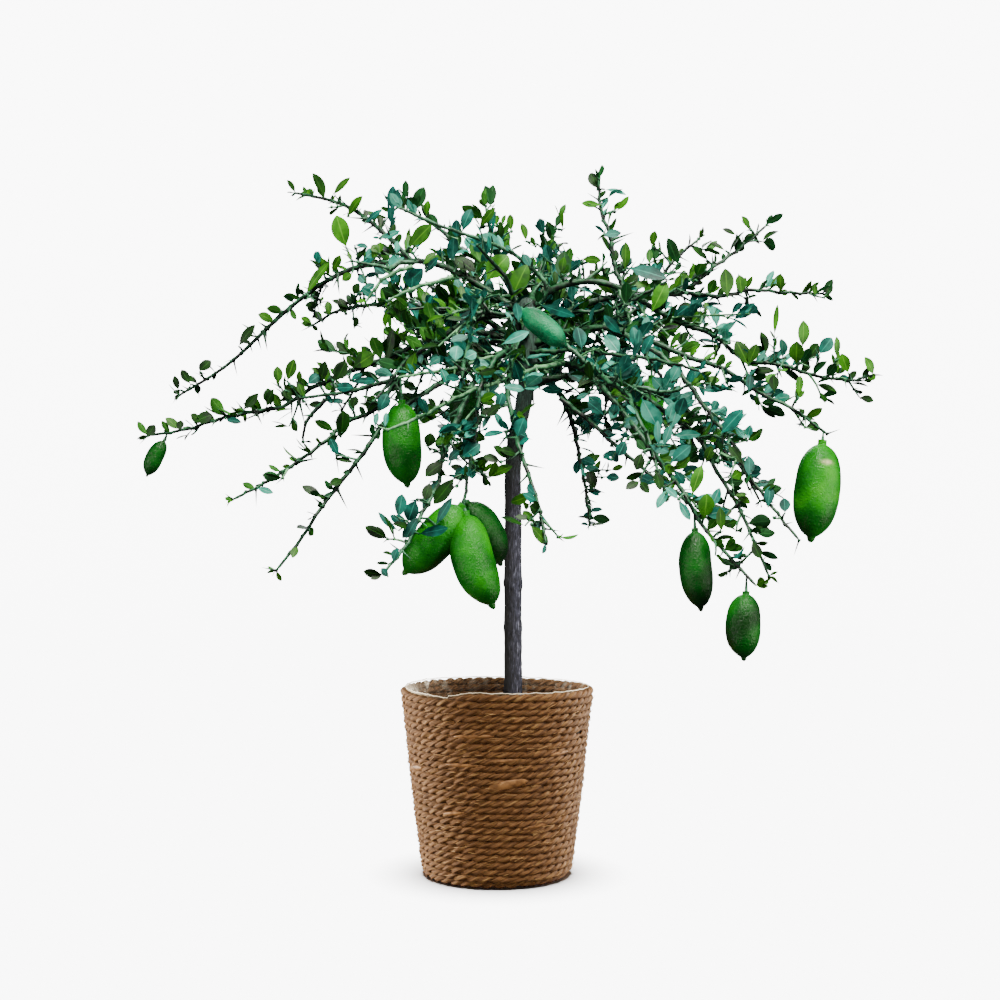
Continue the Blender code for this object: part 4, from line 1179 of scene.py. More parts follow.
def skin(shape, rings, capped=False):
    """Faces between rings of points, each joined to the next, and over both ends where asked."""
    for a, b in zip(rings, rings[1:]):
        for k in range(len(a)):
            n = (k + 1) % len(a)
            shape.faces.new([a[k], a[n], b[n], b[k]])
    if capped:
        shape.faces.new(rings[0][::-1])
        shape.faces.new(rings[-1])


def to_piece(shape, name, finish=None):
    """A mesh made into a piece, with its finish."""
    mesh = bpy.data.meshes.new(name)
    shape.to_mesh(mesh)
    shape.free()
    if finish:
        mesh.materials.append(finish)
    return new_piece(name, mesh)


def finish_mesh(shape, name, finish=None):
    """A mesh made into a smooth piece whose faces all look outward."""
    bmesh.ops.recalc_face_normals(shape, faces=shape.faces)
    for face in shape.faces:
        face.smooth = True
    return to_piece(shape, name, finish)


# A leaf of unit length and width, seen from its base: half widths at shares of its length
LEAF_OUTLINE = (
    (0.0, 0.03), (0.06, 0.035), (0.12, 0.10), (0.20, 0.23), (0.30, 0.36), (0.42, 0.455), (0.54, 0.495),
    (0.65, 0.485), (0.75, 0.43), (0.84, 0.335), (0.91, 0.225), (0.96, 0.125), (1.0, 0.02),
)
LEAF_COLUMNS = (-1, 0, 1)
LEAF_FOLD = 0.16
LEAF_ARCH = 0.10
LEAF_THICKNESS = 0.012


def leaf_shape():
    """A small obovate leaf on a short stalk, folded along its rib and arched back."""
    shape = bmesh.new()
    under = shape.faces.layers.bool.new("under")
    across = shape.verts.layers.float.new("across")
    for side in (1, -1):
        rows = []
        for along, half in LEAF_OUTLINE:
            arched = LEAF_ARCH * (along - along * along * 1.35)
            row = []
            for column in LEAF_COLUMNS:
                thick = side * LEAF_THICKNESS * (1 - abs(column)) * (0.3 + 0.7 * half * 2)
                rise = arched + LEAF_FOLD * abs(column) * half * 0.6 + thick
                vert = shape.verts.new((along, column * half, rise))
                vert[across] = column
                row.append(vert)
            rows.append(row)
        for a, b in zip(rows, rows[1:]):
            for i in range(len(LEAF_COLUMNS) - 1):
                corners = [a[i], b[i], b[i + 1], a[i + 1]]
                face = shape.faces.new(corners if side == 1 else corners[::-1])
                face.smooth = True
                face[under] = side == -1
    bmesh.ops.remove_doubles(shape, verts=shape.verts, dist=1e-5)
    bmesh.ops.recalc_face_normals(shape, faces=shape.faces)
    for edge in shape.edges:
        if len({face[under] for face in edge.link_faces}) == 2:
            edge.smooth = False
    return to_piece(shape, "leaf_shape")


# A thorn of unit length: radii at shares of its length
THORN_OUTLINE = ((-0.05, 0.13), (0.06, 0.085), (0.2, 0.05), (0.6, 0.03))
THORN_SIDES = 6


def thorn_shape():
    """A straight thorn on a wide base."""
    shape = bmesh.new()
    rings = []
    for along, radius in THORN_OUTLINE:
        places = [(along, radius * math.cos(turn), radius * math.sin(turn)) for turn in round_steps(THORN_SIDES)]
        rings.append([shape.verts.new(place) for place in places])
    tip = shape.verts.new((1, 0, 0))
    skin(shape, rings)
    for i, vert in enumerate(rings[-1]):
        shape.faces.new([vert, rings[-1][(i + 1) % THORN_SIDES], tip])
    shape.faces.new(rings[0])
    return finish_mesh(shape, "thorn_shape")


def facing(way, face):
    """The turn that lays a shape's length along way and its upper side towards face."""
    side = face.cross(way).normalized()
    return Matrix((way, side, face)).transposed().to_quaternion()


def set_copies(name, kept, shape, tree, upper, under):
    """A piece of one shape set at every kept leaf or thorn."""
    mesh = bpy.data.meshes.new(name)
    mesh.from_pydata([tuple(one.base) for one in kept], [], [])
    turned = mesh.attributes.new("turn", "QUATERNION", "POINT")
    turned.data.foreach_set("value", [value for one in kept for value in facing(one.way, one.face)])
    size = mesh.attributes.new("size", "FLOAT_VECTOR", "POINT")
    size.data.foreach_set("vector", [value for one in kept for value in one.size])
    values = {"Shape": shape, "Upper": upper, "Under": under}
    return settle(through_tree(name, mesh, tree, values), "foliage")


def relief(around, along, radius, fissure, run):
    """How far bark stands in or out: long cracks between narrow ridges, and low lumps."""
    turn = level_way(around) * radius
    spot = Vector((turn.x / fissure, turn.y / fissure, along / run))
    crack = noise.noise(spot)
    fine = noise.noise(spot * 2.3 + Vector((7, 3, 1)))
    lump = noise.noise(Vector((turn.x / 0.012, turn.y / 0.012, along / 0.02)) + Vector((3, 9, 4)))
    return 0.30 * MM * fine + 0.45 * MM * lump - 0.75 * MM * bump(crack, 0.16)


# Painted light and shade: the trunk is painted paler on its side to the right and the front, where the light falls,
# and darker above a height, as the crown's shade
PAINTED_LIT_SIDE = heading(-22, 0)
PAINTED_CROWN_SHADE_START = 0.34

# How wide and how long the bark's cracks are
FISSURE = (2.2 * MM, 14 * MM)


def bark_limb(shape, line, radius_at, sides, step, depth, seed):
    """Adds a limb swept along a line to a mesh, with bark relief and a rounded end."""
    painted_light_and_shade = shape.verts.layers.float.get("painted_light_and_shade") or shape.verts.layers.float.new("painted_light_and_shade")
    count = max(6, round(line.length / step))
    side = None
    rings = []
    for i in range(count + 1):
        distance = line.length * i / count
        place, way = line.at(distance)
        if side is None:
            side = square_to(way, 0)
        side = (side - way * side.dot(way)).normalized()
        up = way.cross(side)
        radius = radius_at(distance)
        end = max(0, (distance - (line.length - radius)) / radius)
        shrink = math.sqrt(max(0.02, 1 - end * end))
        ring = []
        for angle in round_steps(sides):
            out = radius * shrink + depth * relief(angle, distance + seed * 3.1, radius, *FISSURE)
            outward = side * math.cos(angle) + up * math.sin(angle)
            vert = shape.verts.new(place + outward * max(out, radius * 0.05))
            # Painted light and shade: paler on the side towards the light, darker higher up in the crown's shade
            high = smooth((place.z - PAINTED_CROWN_SHADE_START) / 0.10)
            vert[painted_light_and_shade] = (0.5 + 0.5 * outward.dot(PAINTED_LIT_SIDE)) * (1 - 0.55 * high)
            ring.append(vert)
        rings.append(ring)
    skin(shape, rings, capped=True)


def make_trunk(finish):
    shape = bmesh.new()
    heights = [SOIL_TOP - 0.002 + (TRUNK_TOP + 0.004 - SOIL_TOP) * i / 100 for i in range(101)]
    line = Line([trunk_axis(h) for h in heights])
    bark_limb(shape, line, lambda d: trunk_radius(line.at(d)[0].z), 84, 1.0 * MM, 1.0, 0)
    return settle(finish_mesh(shape, "trunk_bark", finish), "bark", "trunk")


# The collar that a bough swells to at the trunk: how much, from where and how fast it fades
COLLAR = 1.6 * MM
COLLAR_START = 0.006
COLLAR_FADE = 0.008


def make_boughs(finish):
    shape = bmesh.new()
    for seed, name in enumerate(BOUGHS, 1):
        line = Line(rounded(bough_points(name), 0.003))

        def radius_at(distance, whole=line.length):
            collar = COLLAR * math.exp(-max(0, distance - COLLAR_START) / COLLAR_FADE)
            return between(BOUGH_ROOT_RADIUS, BOUGH_TIP_RADIUS, distance / whole) + collar

        bark_limb(shape, line, radius_at, 20, 1.8 * MM, 0.45, seed)
    piece = finish_mesh(shape, "bough_bark", finish)
    return settle(piece, "bark", *["bough_" + name for name in BOUGHS])


# Where a rind's patches change colour
RIND_STOPS = (0.36, 0.48, 0.58, 0.72)

# A fruit's body ends at this share of its length, and its nipple at the end of it
BODY_END = 0.955
SHOULDER = (2.8, 0.54)
LOWER_END = (2.7, 0.64)
NIPPLE_START = 0.90
NIPPLE_RADIUS = 0.19
NECK_END = 0.04
NECK_RADIUS = 0.20
FRUIT_SIDES = 64
FRUIT_RINGS = 80
FRUIT_BEND = 0.035


def fruit_radius(share):
    """A fruit's radius at a share of its length from the top, as a share of half its width."""
    along = 2 * (share - NECK_END) / (BODY_END - NECK_END) - 1
    bluntness, fullness = SHOULDER if along < 0 else LOWER_END
    body = max(0, 1 - abs(along) ** bluntness) ** fullness
    below = max(0, share - NIPPLE_START) / (1 - NIPPLE_START)
    nipple = NIPPLE_RADIUS * math.sqrt(max(0.05, 1 - below**3)) * (share > NIPPLE_START)
    neck = NECK_RADIUS * (share < 2 * NECK_END)
    return max(body, nipple, neck)


# The front fruit bows to the left
BOWED_FRUIT = 3
BOWED_BEND = 0.065


def make_fruit(number, fruit, rind):
    """One long fruit, a little bent and lumpy, with a neck above and a nipple below."""
    hung, top, bottom = fruit_axis(fruit)
    way = (bottom - top).normalized()
    side, bend = square_to(way, 70 * number), FRUIT_BEND
    if number == BOWED_FRUIT:
        side, bend = (way * way.x - Vector((1, 0, 0))).normalized(), BOWED_BEND
    up = way.cross(side)
    shape = bmesh.new()
    scar = shape.verts.layers.float.new("scar")
    lower = shape.verts.layers.float.new("lower")
    rings = []
    for i in range(FRUIT_RINGS + 1):
        share = (1 - math.cos(math.pi * i / FRUIT_RINGS)) / 2
        half = fruit.width / 2 * fruit_radius(share)
        middle = top.lerp(bottom, share) + side * bend * fruit.length * math.sin(math.pi * share)
        ring = []
        for angle in round_steps(FRUIT_SIDES):
            out = side * math.cos(angle) + up * math.sin(angle)
            spot = middle + out * half
            lump = noise.noise(spot / (18 * MM)) * 0.6 * MM + noise.noise(spot / (6 * MM)) * 0.14 * MM
            vert = shape.verts.new(spot + out * lump * min(1, half / (5 * MM)))
            vert[scar] = scar_at(number, share, out)
            # Share along the fruit, which the rind darkens towards the end as painted shade
            vert[lower] = share
            ring.append(vert)
        rings.append(ring)
    skin(shape, rings, capped=True)
    stalk_end = top + way * fruit.length * 0.02
    sag = Vector((0, 0, -0.15 * (top - hung).length))
    middle = hung.lerp(top, 0.5) - sag
    radii = [1.0 * MM, 1.0 * MM, 1.5 * MM, 2.1 * MM]
    SHOOTS["green_shoot"].append(([hung, middle, top - way * 1.2 * MM, stalk_end], radii))
    return settle(finish_mesh(shape, f"fruit_{number}", rind), "foliage")


SCARRED_FRUIT = 8
SCAR_SHARE = 0.22


def scar_at(number, share, out):
    """A pale scar on the front of one fruit's shoulder."""
    if number != SCARRED_FRUIT:
        return 0.0
    front = out.dot(Vector((0.15, -1, 0)).normalized())
    ragged = 1 + 1.2 * noise.noise(Vector((share * 45, out.x * 9, 2)))
    return min(1, max(0, ragged) * bump(share - SCAR_SHARE, 0.020) * bump(math.acos(min(1, front)), 0.26))


def outer_radius(height):
    """The rope's outer radius at a height."""
    for (low, first), (high, second) in zip(BASKET_OUTLINE, BASKET_OUTLINE[1:]):
        if height <= high:
            return first + (second - first) * (height - low) / (high - low)
    return BASKET_OUTLINE[-1][1]


# Rope of the basket: a base coiled from its middle out, then about 27 rows up the wall
ROPE_HALF = ROPE / 2
ROPE_STEP = 0.0026
PLY_RADIUS = 0.00250
PLY_REACH = 0.00110
PLY_RISE = 0.00150
PLY_RIDGES = 4
RIDGE_DEPTH = 0.11
TWIST_LENGTH = -0.0225
FIBRE_TURNS = 0.4
COIL_START = 200
COIL_END = -120
COIL_TAPER = 18
COIL_TIP = 0.3
COIL_LOW = ROPE_HALF + 0.0016
COIL_TOP = BASKET_HEIGHT + 0.0050 - ROPE_HALF
RIM_LIFT = (150, 75, 0.0030)
ROWS = 26 + (COIL_START - COIL_END) / 360
ROW_PITCH = (COIL_TOP - COIL_LOW) / ROWS

# Where the rope is worn thin to a hole; the core behind it is painted nearly black there as the hole's shade
HOLE = heading(-25, 0) * 0.0885 + Vector((0, 0, 0.1445))
HOLE_REACH = 0.0048


def off_bearing(bearing, centre):
    """How far a bearing is from another, in degrees, the shorter way round."""
    return (bearing - centre + 180) % 360 - 180


def up_and_down(rows):
    """Rows up one face of a wall and down the other: which face, and the share of the height."""
    return [(face, abs(face - j / rows)) for face in (0, 1) for j in range(rows + 1)]


def coil_end_scale(before):
    """How thick the rope is, as a share, at an angle in degrees before its end."""
    return COIL_TIP + (1 - COIL_TIP) * smooth(before / COIL_TAPER)


def rim_lift(bearing, share):
    """How much higher the upper rows stand at the back left, growing towards the rim."""
    centre, spread, most = RIM_LIFT
    return most * bump(off_bearing(bearing, centre), spread) * share**3


def rim_height(bearing):
    """The height of the rim at a bearing: the coil climbs to it and tapers off at its end."""
    before = (bearing - COIL_END) % 360
    scale = coil_end_scale(before)
    return COIL_TOP - ROW_PITCH * before / 360 + ROPE_HALF * (2 * scale - 1) + rim_lift(bearing, 1)


def coil_points():
    """The rope's line and its thickness: out from the base's middle, then up the wall."""
    points, thick = [], []
    bearing = math.radians(COIL_START)
    inner = outer_radius(COIL_LOW) - ROPE_HALF
    turns = (inner - ROPE_HALF) / ROPE
    bearing += math.tau * turns
    radius = ROPE_HALF
    while radius < inner:
        points.append(Vector((radius * math.cos(bearing), radius * math.sin(bearing), COIL_LOW)))
        thick.append(1.0)
        step = ROPE_STEP / radius
        bearing -= step
        radius += ROPE * step / math.tau
    bearing = math.radians(COIL_START)
    climbed = 0.0
    while climbed < ROWS:
        height = COIL_LOW + ROW_PITCH * climbed + rim_lift(math.degrees(bearing), climbed / ROWS)
        scale = coil_end_scale((ROWS - climbed) * 360)
        radius = outer_radius(height) - ROPE_HALF - 0.1 * MM
        out = level_way(bearing)
        wobble = noise.noise(out * 2 + Vector((0, 0, height / 0.009))) * 0.55 * MM
        lift = noise.noise(out * 3 + Vector((5, 0, height / 0.014))) * 0.5 * MM * min(1, climbed)
        height -= (1 - scale) * ROW_PITCH / 2
        spot = out * (radius + wobble) + Vector((0, 0, height + lift))
        points.append(spot)
        thick.append(scale * (1 - 0.92 * bump((spot - HOLE).length, HOLE_REACH)))
        step = ROPE_STEP / radius
        bearing -= step
        climbed += step / math.tau
    return points, thick


# Broad flat blades laid over the rope: bearing, height, length, width and slope in degrees
BROAD_BLADES = (
    (-83, 0.1015, 0.038, 0.0085, 9),
    (-104, 0.147, 0.040, 0.0042, 2),
    (-112, 0.119, 0.034, 0.0040, 1),
    (-86, 0.124, 0.030, 0.0036, 3),
    (-63, 0.060, 0.026, 0.0040, 7),
    (-120, 0.072, 0.024, 0.0040, 8),
    (-48, 0.128, 0.024, 0.0038, 5),
    (20, 0.090, 0.036, 0.0060, 8),
    (78, 0.130, 0.034, 0.0050, 5),
    (145, 0.060, 0.034, 0.0060, 8),
    (205, 0.110, 0.030, 0.0050, 6),
)
BLADE_FACES = (0.5 * MM, -1.6 * MM)
BLADE_COLUMNS = 14
BLADE_ROWS = 6
LOOSE_FIBRES = 420
FIBRE_HEIGHTS = (0.006, 0.172)
FIBRE_LENGTH = (0.006, 0.018)
FIBRE_RADIUS = 0.00022
FIBRE_SLOPE = (-8, 34)
FIBRE_LIFT = (0.0002, 0.0022)


def on_basket(bearing, height, away):
    """The point off the basket's outer face by some distance."""
    return heading(bearing, 0) * (outer_radius(height) + away) + Vector((0, 0, height))


def blade_sheet(shape, number, blade, away):
    """One face of a blade as rows of points. The upper face bulges outward."""
    bearing, height, length, width, slope = blade
    strand, proud = shape.verts.layers.float_vector["strand"], shape.verts.layers.float["proud"]
    rows = []
    for i in range(BLADE_COLUMNS + 1):
        along = 2 * i / BLADE_COLUMNS - 1
        half = width / 2 * math.sqrt(max(0.01, 1 - abs(along) ** 2.4))
        run = along * length / 2
        turned = bearing + math.degrees(run / outer_radius(height))
        row = []
        for j in range(BLADE_ROWS + 1):
            across = 2 * j / BLADE_ROWS - 1
            up = across * half + run * math.tan(math.radians(slope))
            bulge = (1 - across**2) * 0.9 * MM * (1 - along**4)
            bulge += noise.noise(Vector((run / 0.004, across, number))) * 0.2 * MM
            vert = shape.verts.new(on_basket(turned, height + up, away + bulge * (away > 0) - 1.0 * MM))
            vert[strand] = Vector((across * 1.5, number * 3.7, run + number))
            vert[proud] = 1.0
            row.append(vert)
        rows.append(row)
    return rows


def make_blades(grass):
    """Flat blades of grass that lie over the rope, closed underneath."""
    shape = bmesh.new()
    shape.verts.layers.float_vector.new("strand")
    shape.verts.layers.float.new("proud")
    for number, blade in enumerate(BROAD_BLADES):
        sheets = [blade_sheet(shape, number, blade, away) for away in BLADE_FACES]
        for rows, flip in zip(sheets, (False, True)):
            for a, b in zip(rows, rows[1:]):
                for j in range(BLADE_ROWS):
                    corners = [a[j], b[j], b[j + 1], a[j + 1]]
                    shape.faces.new(corners[::-1] if flip else corners)
        upper, lower = sheets
        rim = [(i, 0) for i in range(BLADE_COLUMNS)] + [(BLADE_COLUMNS, j) for j in range(BLADE_ROWS)]
        rim += [(i, BLADE_ROWS) for i in range(BLADE_COLUMNS, 0, -1)] + [(0, j) for j in range(BLADE_ROWS, 0, -1)]
        for (i, j), (k, m) in zip(rim, rim[1:] + rim[:1]):
            shape.faces.new([upper[i][j], upper[k][m], lower[k][m], lower[i][j]])
    return settle(finish_mesh(shape, "broad_blades", grass), "seagrass")


def fibre_runs():
    """Loose fibres that lie along the rope and stand off it at one end."""
    rng = random.Random("fibres")
    runs = []
    for _ in range(LOOSE_FIBRES):
        bearing, height = rng.uniform(0, 360), rng.uniform(*FIBRE_HEIGHTS)
        length, slope = rng.uniform(*FIBRE_LENGTH), math.radians(rng.uniform(*FIBRE_SLOPE))
        lift = rng.uniform(*FIBRE_LIFT)
        points = []
        for share in (0, 0.33, 0.67, 1):
            run = length * share * math.cos(slope)
            turned = bearing + math.degrees(run / outer_radius(height))
            up = length * share * math.sin(slope)
            points.append(on_basket(turned, height + up, lift * share**2 - 0.4 * MM * (1 - share)))
        runs.append((points, [FIBRE_RADIUS * size for size in (0.8, 1.1, 0.9, 0.4)]))
    return runs


BASKET_PIECES = 4
CORE_ROWS = 24
CORE_SIDES = 144
CORE_FACES = (0.4 * MM, 1.2 * MM)


def make_basket(grass, core, tree):
    """The coil in pieces, each under the most triangles that one may have, and its core."""
    points, thick = coil_points()
    share = len(points) // BASKET_PIECES
    pieces = []
    for i in range(BASKET_PIECES):
        last = share * (i + 1) + 1 if i < BASKET_PIECES - 1 else None
        run = points[share * i : last], thick[share * i : last]
        values = {
            "Ply Radius": PLY_RADIUS,
            "Ply Reach": PLY_REACH,
            "Ply Rise": PLY_RISE,
            "Ridges": float(PLY_RIDGES),
            "Ridge Depth": RIDGE_DEPTH,
            "Twist Length": TWIST_LENGTH,
            "Unevenness": 0.9,
            "Start": share * i * ROPE_STEP,
            "Grass": grass,
        }
        made = through_tree(f"basket_rope_{i + 1}", runs_mesh("coil", [run]), tree, values)
        pieces.append(settle(made, "seagrass"))
    shape = bmesh.new()
    rings = []
    for layer, up in up_and_down(CORE_ROWS):
        ring = []
        for around in round_steps(CORE_SIDES):
            height = COIL_LOW + (rim_height(math.degrees(around)) - ROPE_HALF - 1.2 * MM - COIL_LOW) * up
            radius = outer_radius(height) - ROPE_HALF - CORE_FACES[layer]
            ring.append(shape.verts.new((radius * math.cos(around), radius * math.sin(around), height)))
        rings.append(ring)
    skin(shape, [*rings, rings[0]])
    pieces.append(settle(finish_mesh(shape, "basket_core", core), "seagrass"))
    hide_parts("basket")
    return pieces


FILM_SIDES = 420
FILM_ROWS = 16
FILM_THICKNESS = 0.16 * MM
# The bearing and spread of the crumpled part
CRUMPLE = (-168, 40)


def make_lining(film):
    """Thin film inside the wall, creased, its edge just over the rim and crumpled at the left."""
    shape = bmesh.new()
    fold = shape.verts.layers.float.new("fold")
    low = SOIL_TOP - 0.002
    rings = []
    for layer, up in up_and_down(FILM_ROWS):
        up = 1 - (1 - up) ** 1.6
        ring = []
        for around in round_steps(FILM_SIDES):
            degrees = math.degrees(around)
            out = level_way(around)
            ragged = noise.noise(out * 9) * 0.9 + noise.noise(out * 31) * 0.5
            crumple = bump(off_bearing(degrees, CRUMPLE[0]), CRUMPLE[1])
            edge = rim_height(degrees) + (1.5 + ragged + 0.9 * crumple) * MM
            height = low + (edge - low) * up
            spot = out * 7 + Vector((0, 0, height / 0.02))
            crease = abs(noise.noise(spot)) + 0.5 * abs(noise.noise(spot * 2.7))
            inward = crease * (1.2 + 5.0 * crumple) * MM * min(1, (1 - up) * 3 + 0.12)
            wall = outer_radius(height) - ROPE - 0.3 * MM
            lip = 2.0 * MM * smooth((up - 0.86) / 0.14)
            vert = shape.verts.new(out * (wall + lip - inward - layer * FILM_THICKNESS) + Vector((0, 0, height)))
            vert[fold] = max(smooth((up - 0.95) / 0.04), crumple * smooth((up - 0.35) / 0.3) * 0.9)
            ring.append(vert)
        rings.append(ring)
    skin(shape, [*rings, rings[0]])
    return settle(finish_mesh(shape, "film_lining", film), "lining_film", "lining")


def make_soil(finish):
    """A lumpy crust on the soil, sunk a little into it."""
    sides, rows = 120, 34
    outer = outer_radius(SOIL_TOP) - ROPE - 1.0 * MM
    shape = bmesh.new()
    rings = []
    for j in range(1, rows + 1):
        ring = []
        for around in round_steps(sides):
            radius = outer * j / rows
            x, y = radius * math.cos(around), radius * math.sin(around)
            lump = noise.noise(Vector((x, y, 0)) / 0.011) * 2.2 + noise.noise(Vector((x, y, 0)) / 0.004) * 1.3
            ring.append(shape.verts.new((x, y, SOIL_TOP + (1.4 + lump) * MM)))
        rings.append(ring)
    skirt = [shape.verts.new((v.co.x, v.co.y, SOIL_TOP - 3 * MM)) for v in rings[-1]]
    rings.append(skirt)
    skin(shape, rings)
    shape.faces.new(rings[0])
    shape.faces.new(skirt[::-1])
    return settle(finish_mesh(shape, "soil_crust", finish), "potting_soil")


def new_finish(name, **values):
    """A material with its Principled shader, whose constants are set on its own sockets."""
    made = bpy.data.materials.new(name)
    made.use_nodes = True
    shader = made.node_tree.nodes["Principled BSDF"]
    for key, value in values.items():
        shader.inputs[key.replace("_", " ")].default_value = value
    return made, made.node_tree


def coated(made, **links):
    """The material, once its colour, relief and the rest are linked to its shader."""
    shader = made.node_tree.nodes["Principled BSDF"]
    for key, value in links.items():
        made.node_tree.links.new(value, shader.inputs[key.replace("_", " ")])
    return made


# Heights between which the trunk's bark turns from grey to the boughs' green
GREEN_BARK_START, GREEN_BARK_END = 0.385, 0.50


def bark_finish():
    """Old citrus bark: dark grey with a violet cast, paler on the ridges, green at the head, quite matt. Painted
    paler on the side towards the light and darker under the crown, as light and shade.
    """
    made, tree = new_finish("weathered_bark_with_painted_shade", Roughness=0.82)
    place = add(tree, SPOT)["Object"]
    long = add(tree, STRETCH, {"Vector": place, "Scale": (1, 1, 0.16)})["Vector"]
    grain = add(tree, NOISE, {"Vector": long, "Scale": 1 / (1.6 * MM), "Detail": 5, "Roughness": 0.62})["Fac"]
    patch = add(tree, NOISE, {"Vector": place, "Scale": 1 / (16 * MM), "Detail": 3})["Fac"]
    patch = add(tree, RAMP, [patch], ((0.35, 0.55), (0.65, 1.0)))["Color"]
    # Painted light and shade: paler on the side towards the light, darker higher up in the crown's shade
    painted_light_and_shade = add(tree, PAINTED, attribute_name="painted_light_and_shade")["Fac"]
    painted_side_light = add(tree, RAMP, [painted_light_and_shade], ((0.36, 0.07), (0.64, 0.5), (0.88, 0.9)))["Color"]
    stops = ((0.30, "#05060c"), (0.46, "#1f2130"), (0.58, "#46485a"), (0.74, "#9698aa"))
    tint = add(tree, RAMP, [grain], stops)["Color"]
    for shade in (patch, painted_side_light):
        tint = add(tree, MIX, {0: 1.0, 6: tint, 7: shade}, **TIMES)[2]
    green = add(tree, RAMP, [grain], ((0.34, "#030806"), (0.70, "#35584a")))["Color"]
    height = add(tree, "ShaderNodeSeparateXYZ", [place])["Z"]
    head = add(tree, SPAN, {"Value": height, "From Min": GREEN_BARK_START, "From Max": GREEN_BARK_END})["Result"]
    tint = add(tree, MIX, {0: head, 6: tint, 7: green}, **BLEND)[2]
    bumps = add(tree, BUMP, {"Height": grain, "Strength": 0.7, "Distance": 0.6 * MM})["Normal"]
    return coated(made, Base_Color=tint, Normal=bumps)


def shoot_finish(name, dark, light, roughness):
    """Young citrus wood: smooth waxy green skin, painted paler on the side turned to the sky and darker beneath, as
    light and shade.
    """
    made, tree = new_finish(name, Roughness=roughness, Specular_IOR_Level=0.3)
    spot = add(tree, SPOT)
    patch = add(tree, NOISE, {"Vector": spot["Object"], "Scale": 1 / (7 * MM), "Detail": 4, "Roughness": 0.6})["Fac"]
    # Painted light and shade: the side that faces up is painted paler, the underside darker
    painted_top_light = add(tree, "ShaderNodeSeparateXYZ", [spot["Normal"]])["Z"]
    span = {"Value": painted_top_light, "From Min": -0.7, "From Max": 0.9, "To Min": -0.20, "To Max": 0.09}
    patch = add(tree, MATHS, (patch, add(tree, SPAN, span)["Result"]), operation="ADD")[0]
    tint = add(tree, RAMP, [patch], ((0.36, dark), (0.68, light)))["Color"]
    fine = add(tree, NOISE, {"Vector": spot["Object"], "Scale": 1 / (0.9 * MM), "Detail": 2})["Fac"]
    bumps = add(tree, BUMP, {"Height": fine, "Strength": 0.35, "Distance": 0.25 * MM})["Normal"]
    return coated(made, Base_Color=tint, Normal=bumps)


def leaf_finish(name, dark, light, rib, roughness):
    """Leathery citrus leaf: a waxy skin, mottled and dimpled by oil glands, with a pale rib."""
    made, tree = new_finish(name, Roughness=roughness, Specular_IOR_Level=0.2)
    place = add(tree, SPOT)["Object"]
    patch = add(tree, NOISE, {"Vector": place, "Scale": 1 / (11 * MM), "Detail": 3, "Roughness": 0.5})["Fac"]
    tint = add(tree, RAMP, [patch], ((0.36, dark), (0.64, light)))["Color"]
    across = add(tree, PAINTED, attribute_name="across")["Fac"]
    across = add(tree, MATHS, [across], operation="ABSOLUTE")[0]
    span = {"Value": across, "From Min": 0.0, "From Max": 0.11, "To Min": 0.65, "To Max": 0.0}
    near_rib = add(tree, SPAN, span)["Result"]
    tint = add(tree, MIX, {0: near_rib, 6: tint, 7: hex_colour(rib)}, **BLEND)[2]
    dimples = add(tree, NOISE, {"Vector": place, "Scale": 1 / (1.3 * MM), "Detail": 2})["Fac"]
    bumps = add(tree, BUMP, {"Height": dimples, "Strength": 0.5, "Distance": 0.3 * MM})["Normal"]
    return coated(made, Base_Color=tint, Normal=bumps)


def rind_finish(name, colours, roughness):
    """Finger lime rind: green, yellower in soft patches, pitted by oil glands, a low waxy gloss, painted darker
    towards its lower end as shade.
    """
    made, tree = new_finish(name, Roughness=roughness, Specular_IOR_Level=0.26)
    place = add(tree, SPOT)["Object"]
    patch = add(tree, NOISE, {"Vector": place, "Scale": 1 / (30 * MM), "Detail": 3, "Roughness": 0.5})["Fac"]
    tint = add(tree, RAMP, [patch], zip(RIND_STOPS, colours))["Color"]
    scar = add(tree, PAINTED, attribute_name="scar")["Fac"]
    tint = add(tree, MIX, {0: scar, 6: tint, 7: hex_colour("#c9c493")}, **BLEND)[2]
    # Painted shade: the rind darkens towards the fruit's lower end
    lower = add(tree, PAINTED, attribute_name="lower")["Fac"]
    tone = add(tree, RAMP, [lower], ((0.35, 1.0), (0.70, 0.78), (1.0, 0.45)))["Color"]
    tint = add(tree, MIX, {0: 1.0, 6: tint, 7: tone}, **TIMES)[2]
    pits = add(tree, CELLS, {"Vector": place, "Scale": 1 / (1.5 * MM)})["Distance"]
    level = add(tree, STRETCH, {"Vector": place, "Scale": (1, 1, 2.6)})["Vector"]
    creases = add(tree, NOISE, {"Vector": level, "Scale": 1 / (3.4 * MM), "Detail": 3, "Roughness": 0.6})["Fac"]
    height = add(tree, MATHS, (creases, 1.6, pits), operation="MULTIPLY_ADD")[0]
    bumps = add(tree, BUMP, {"Height": height, "Strength": 0.85, "Distance": 0.5 * MM})["Normal"]
    return coated(made, Base_Color=tint, Normal=bumps)


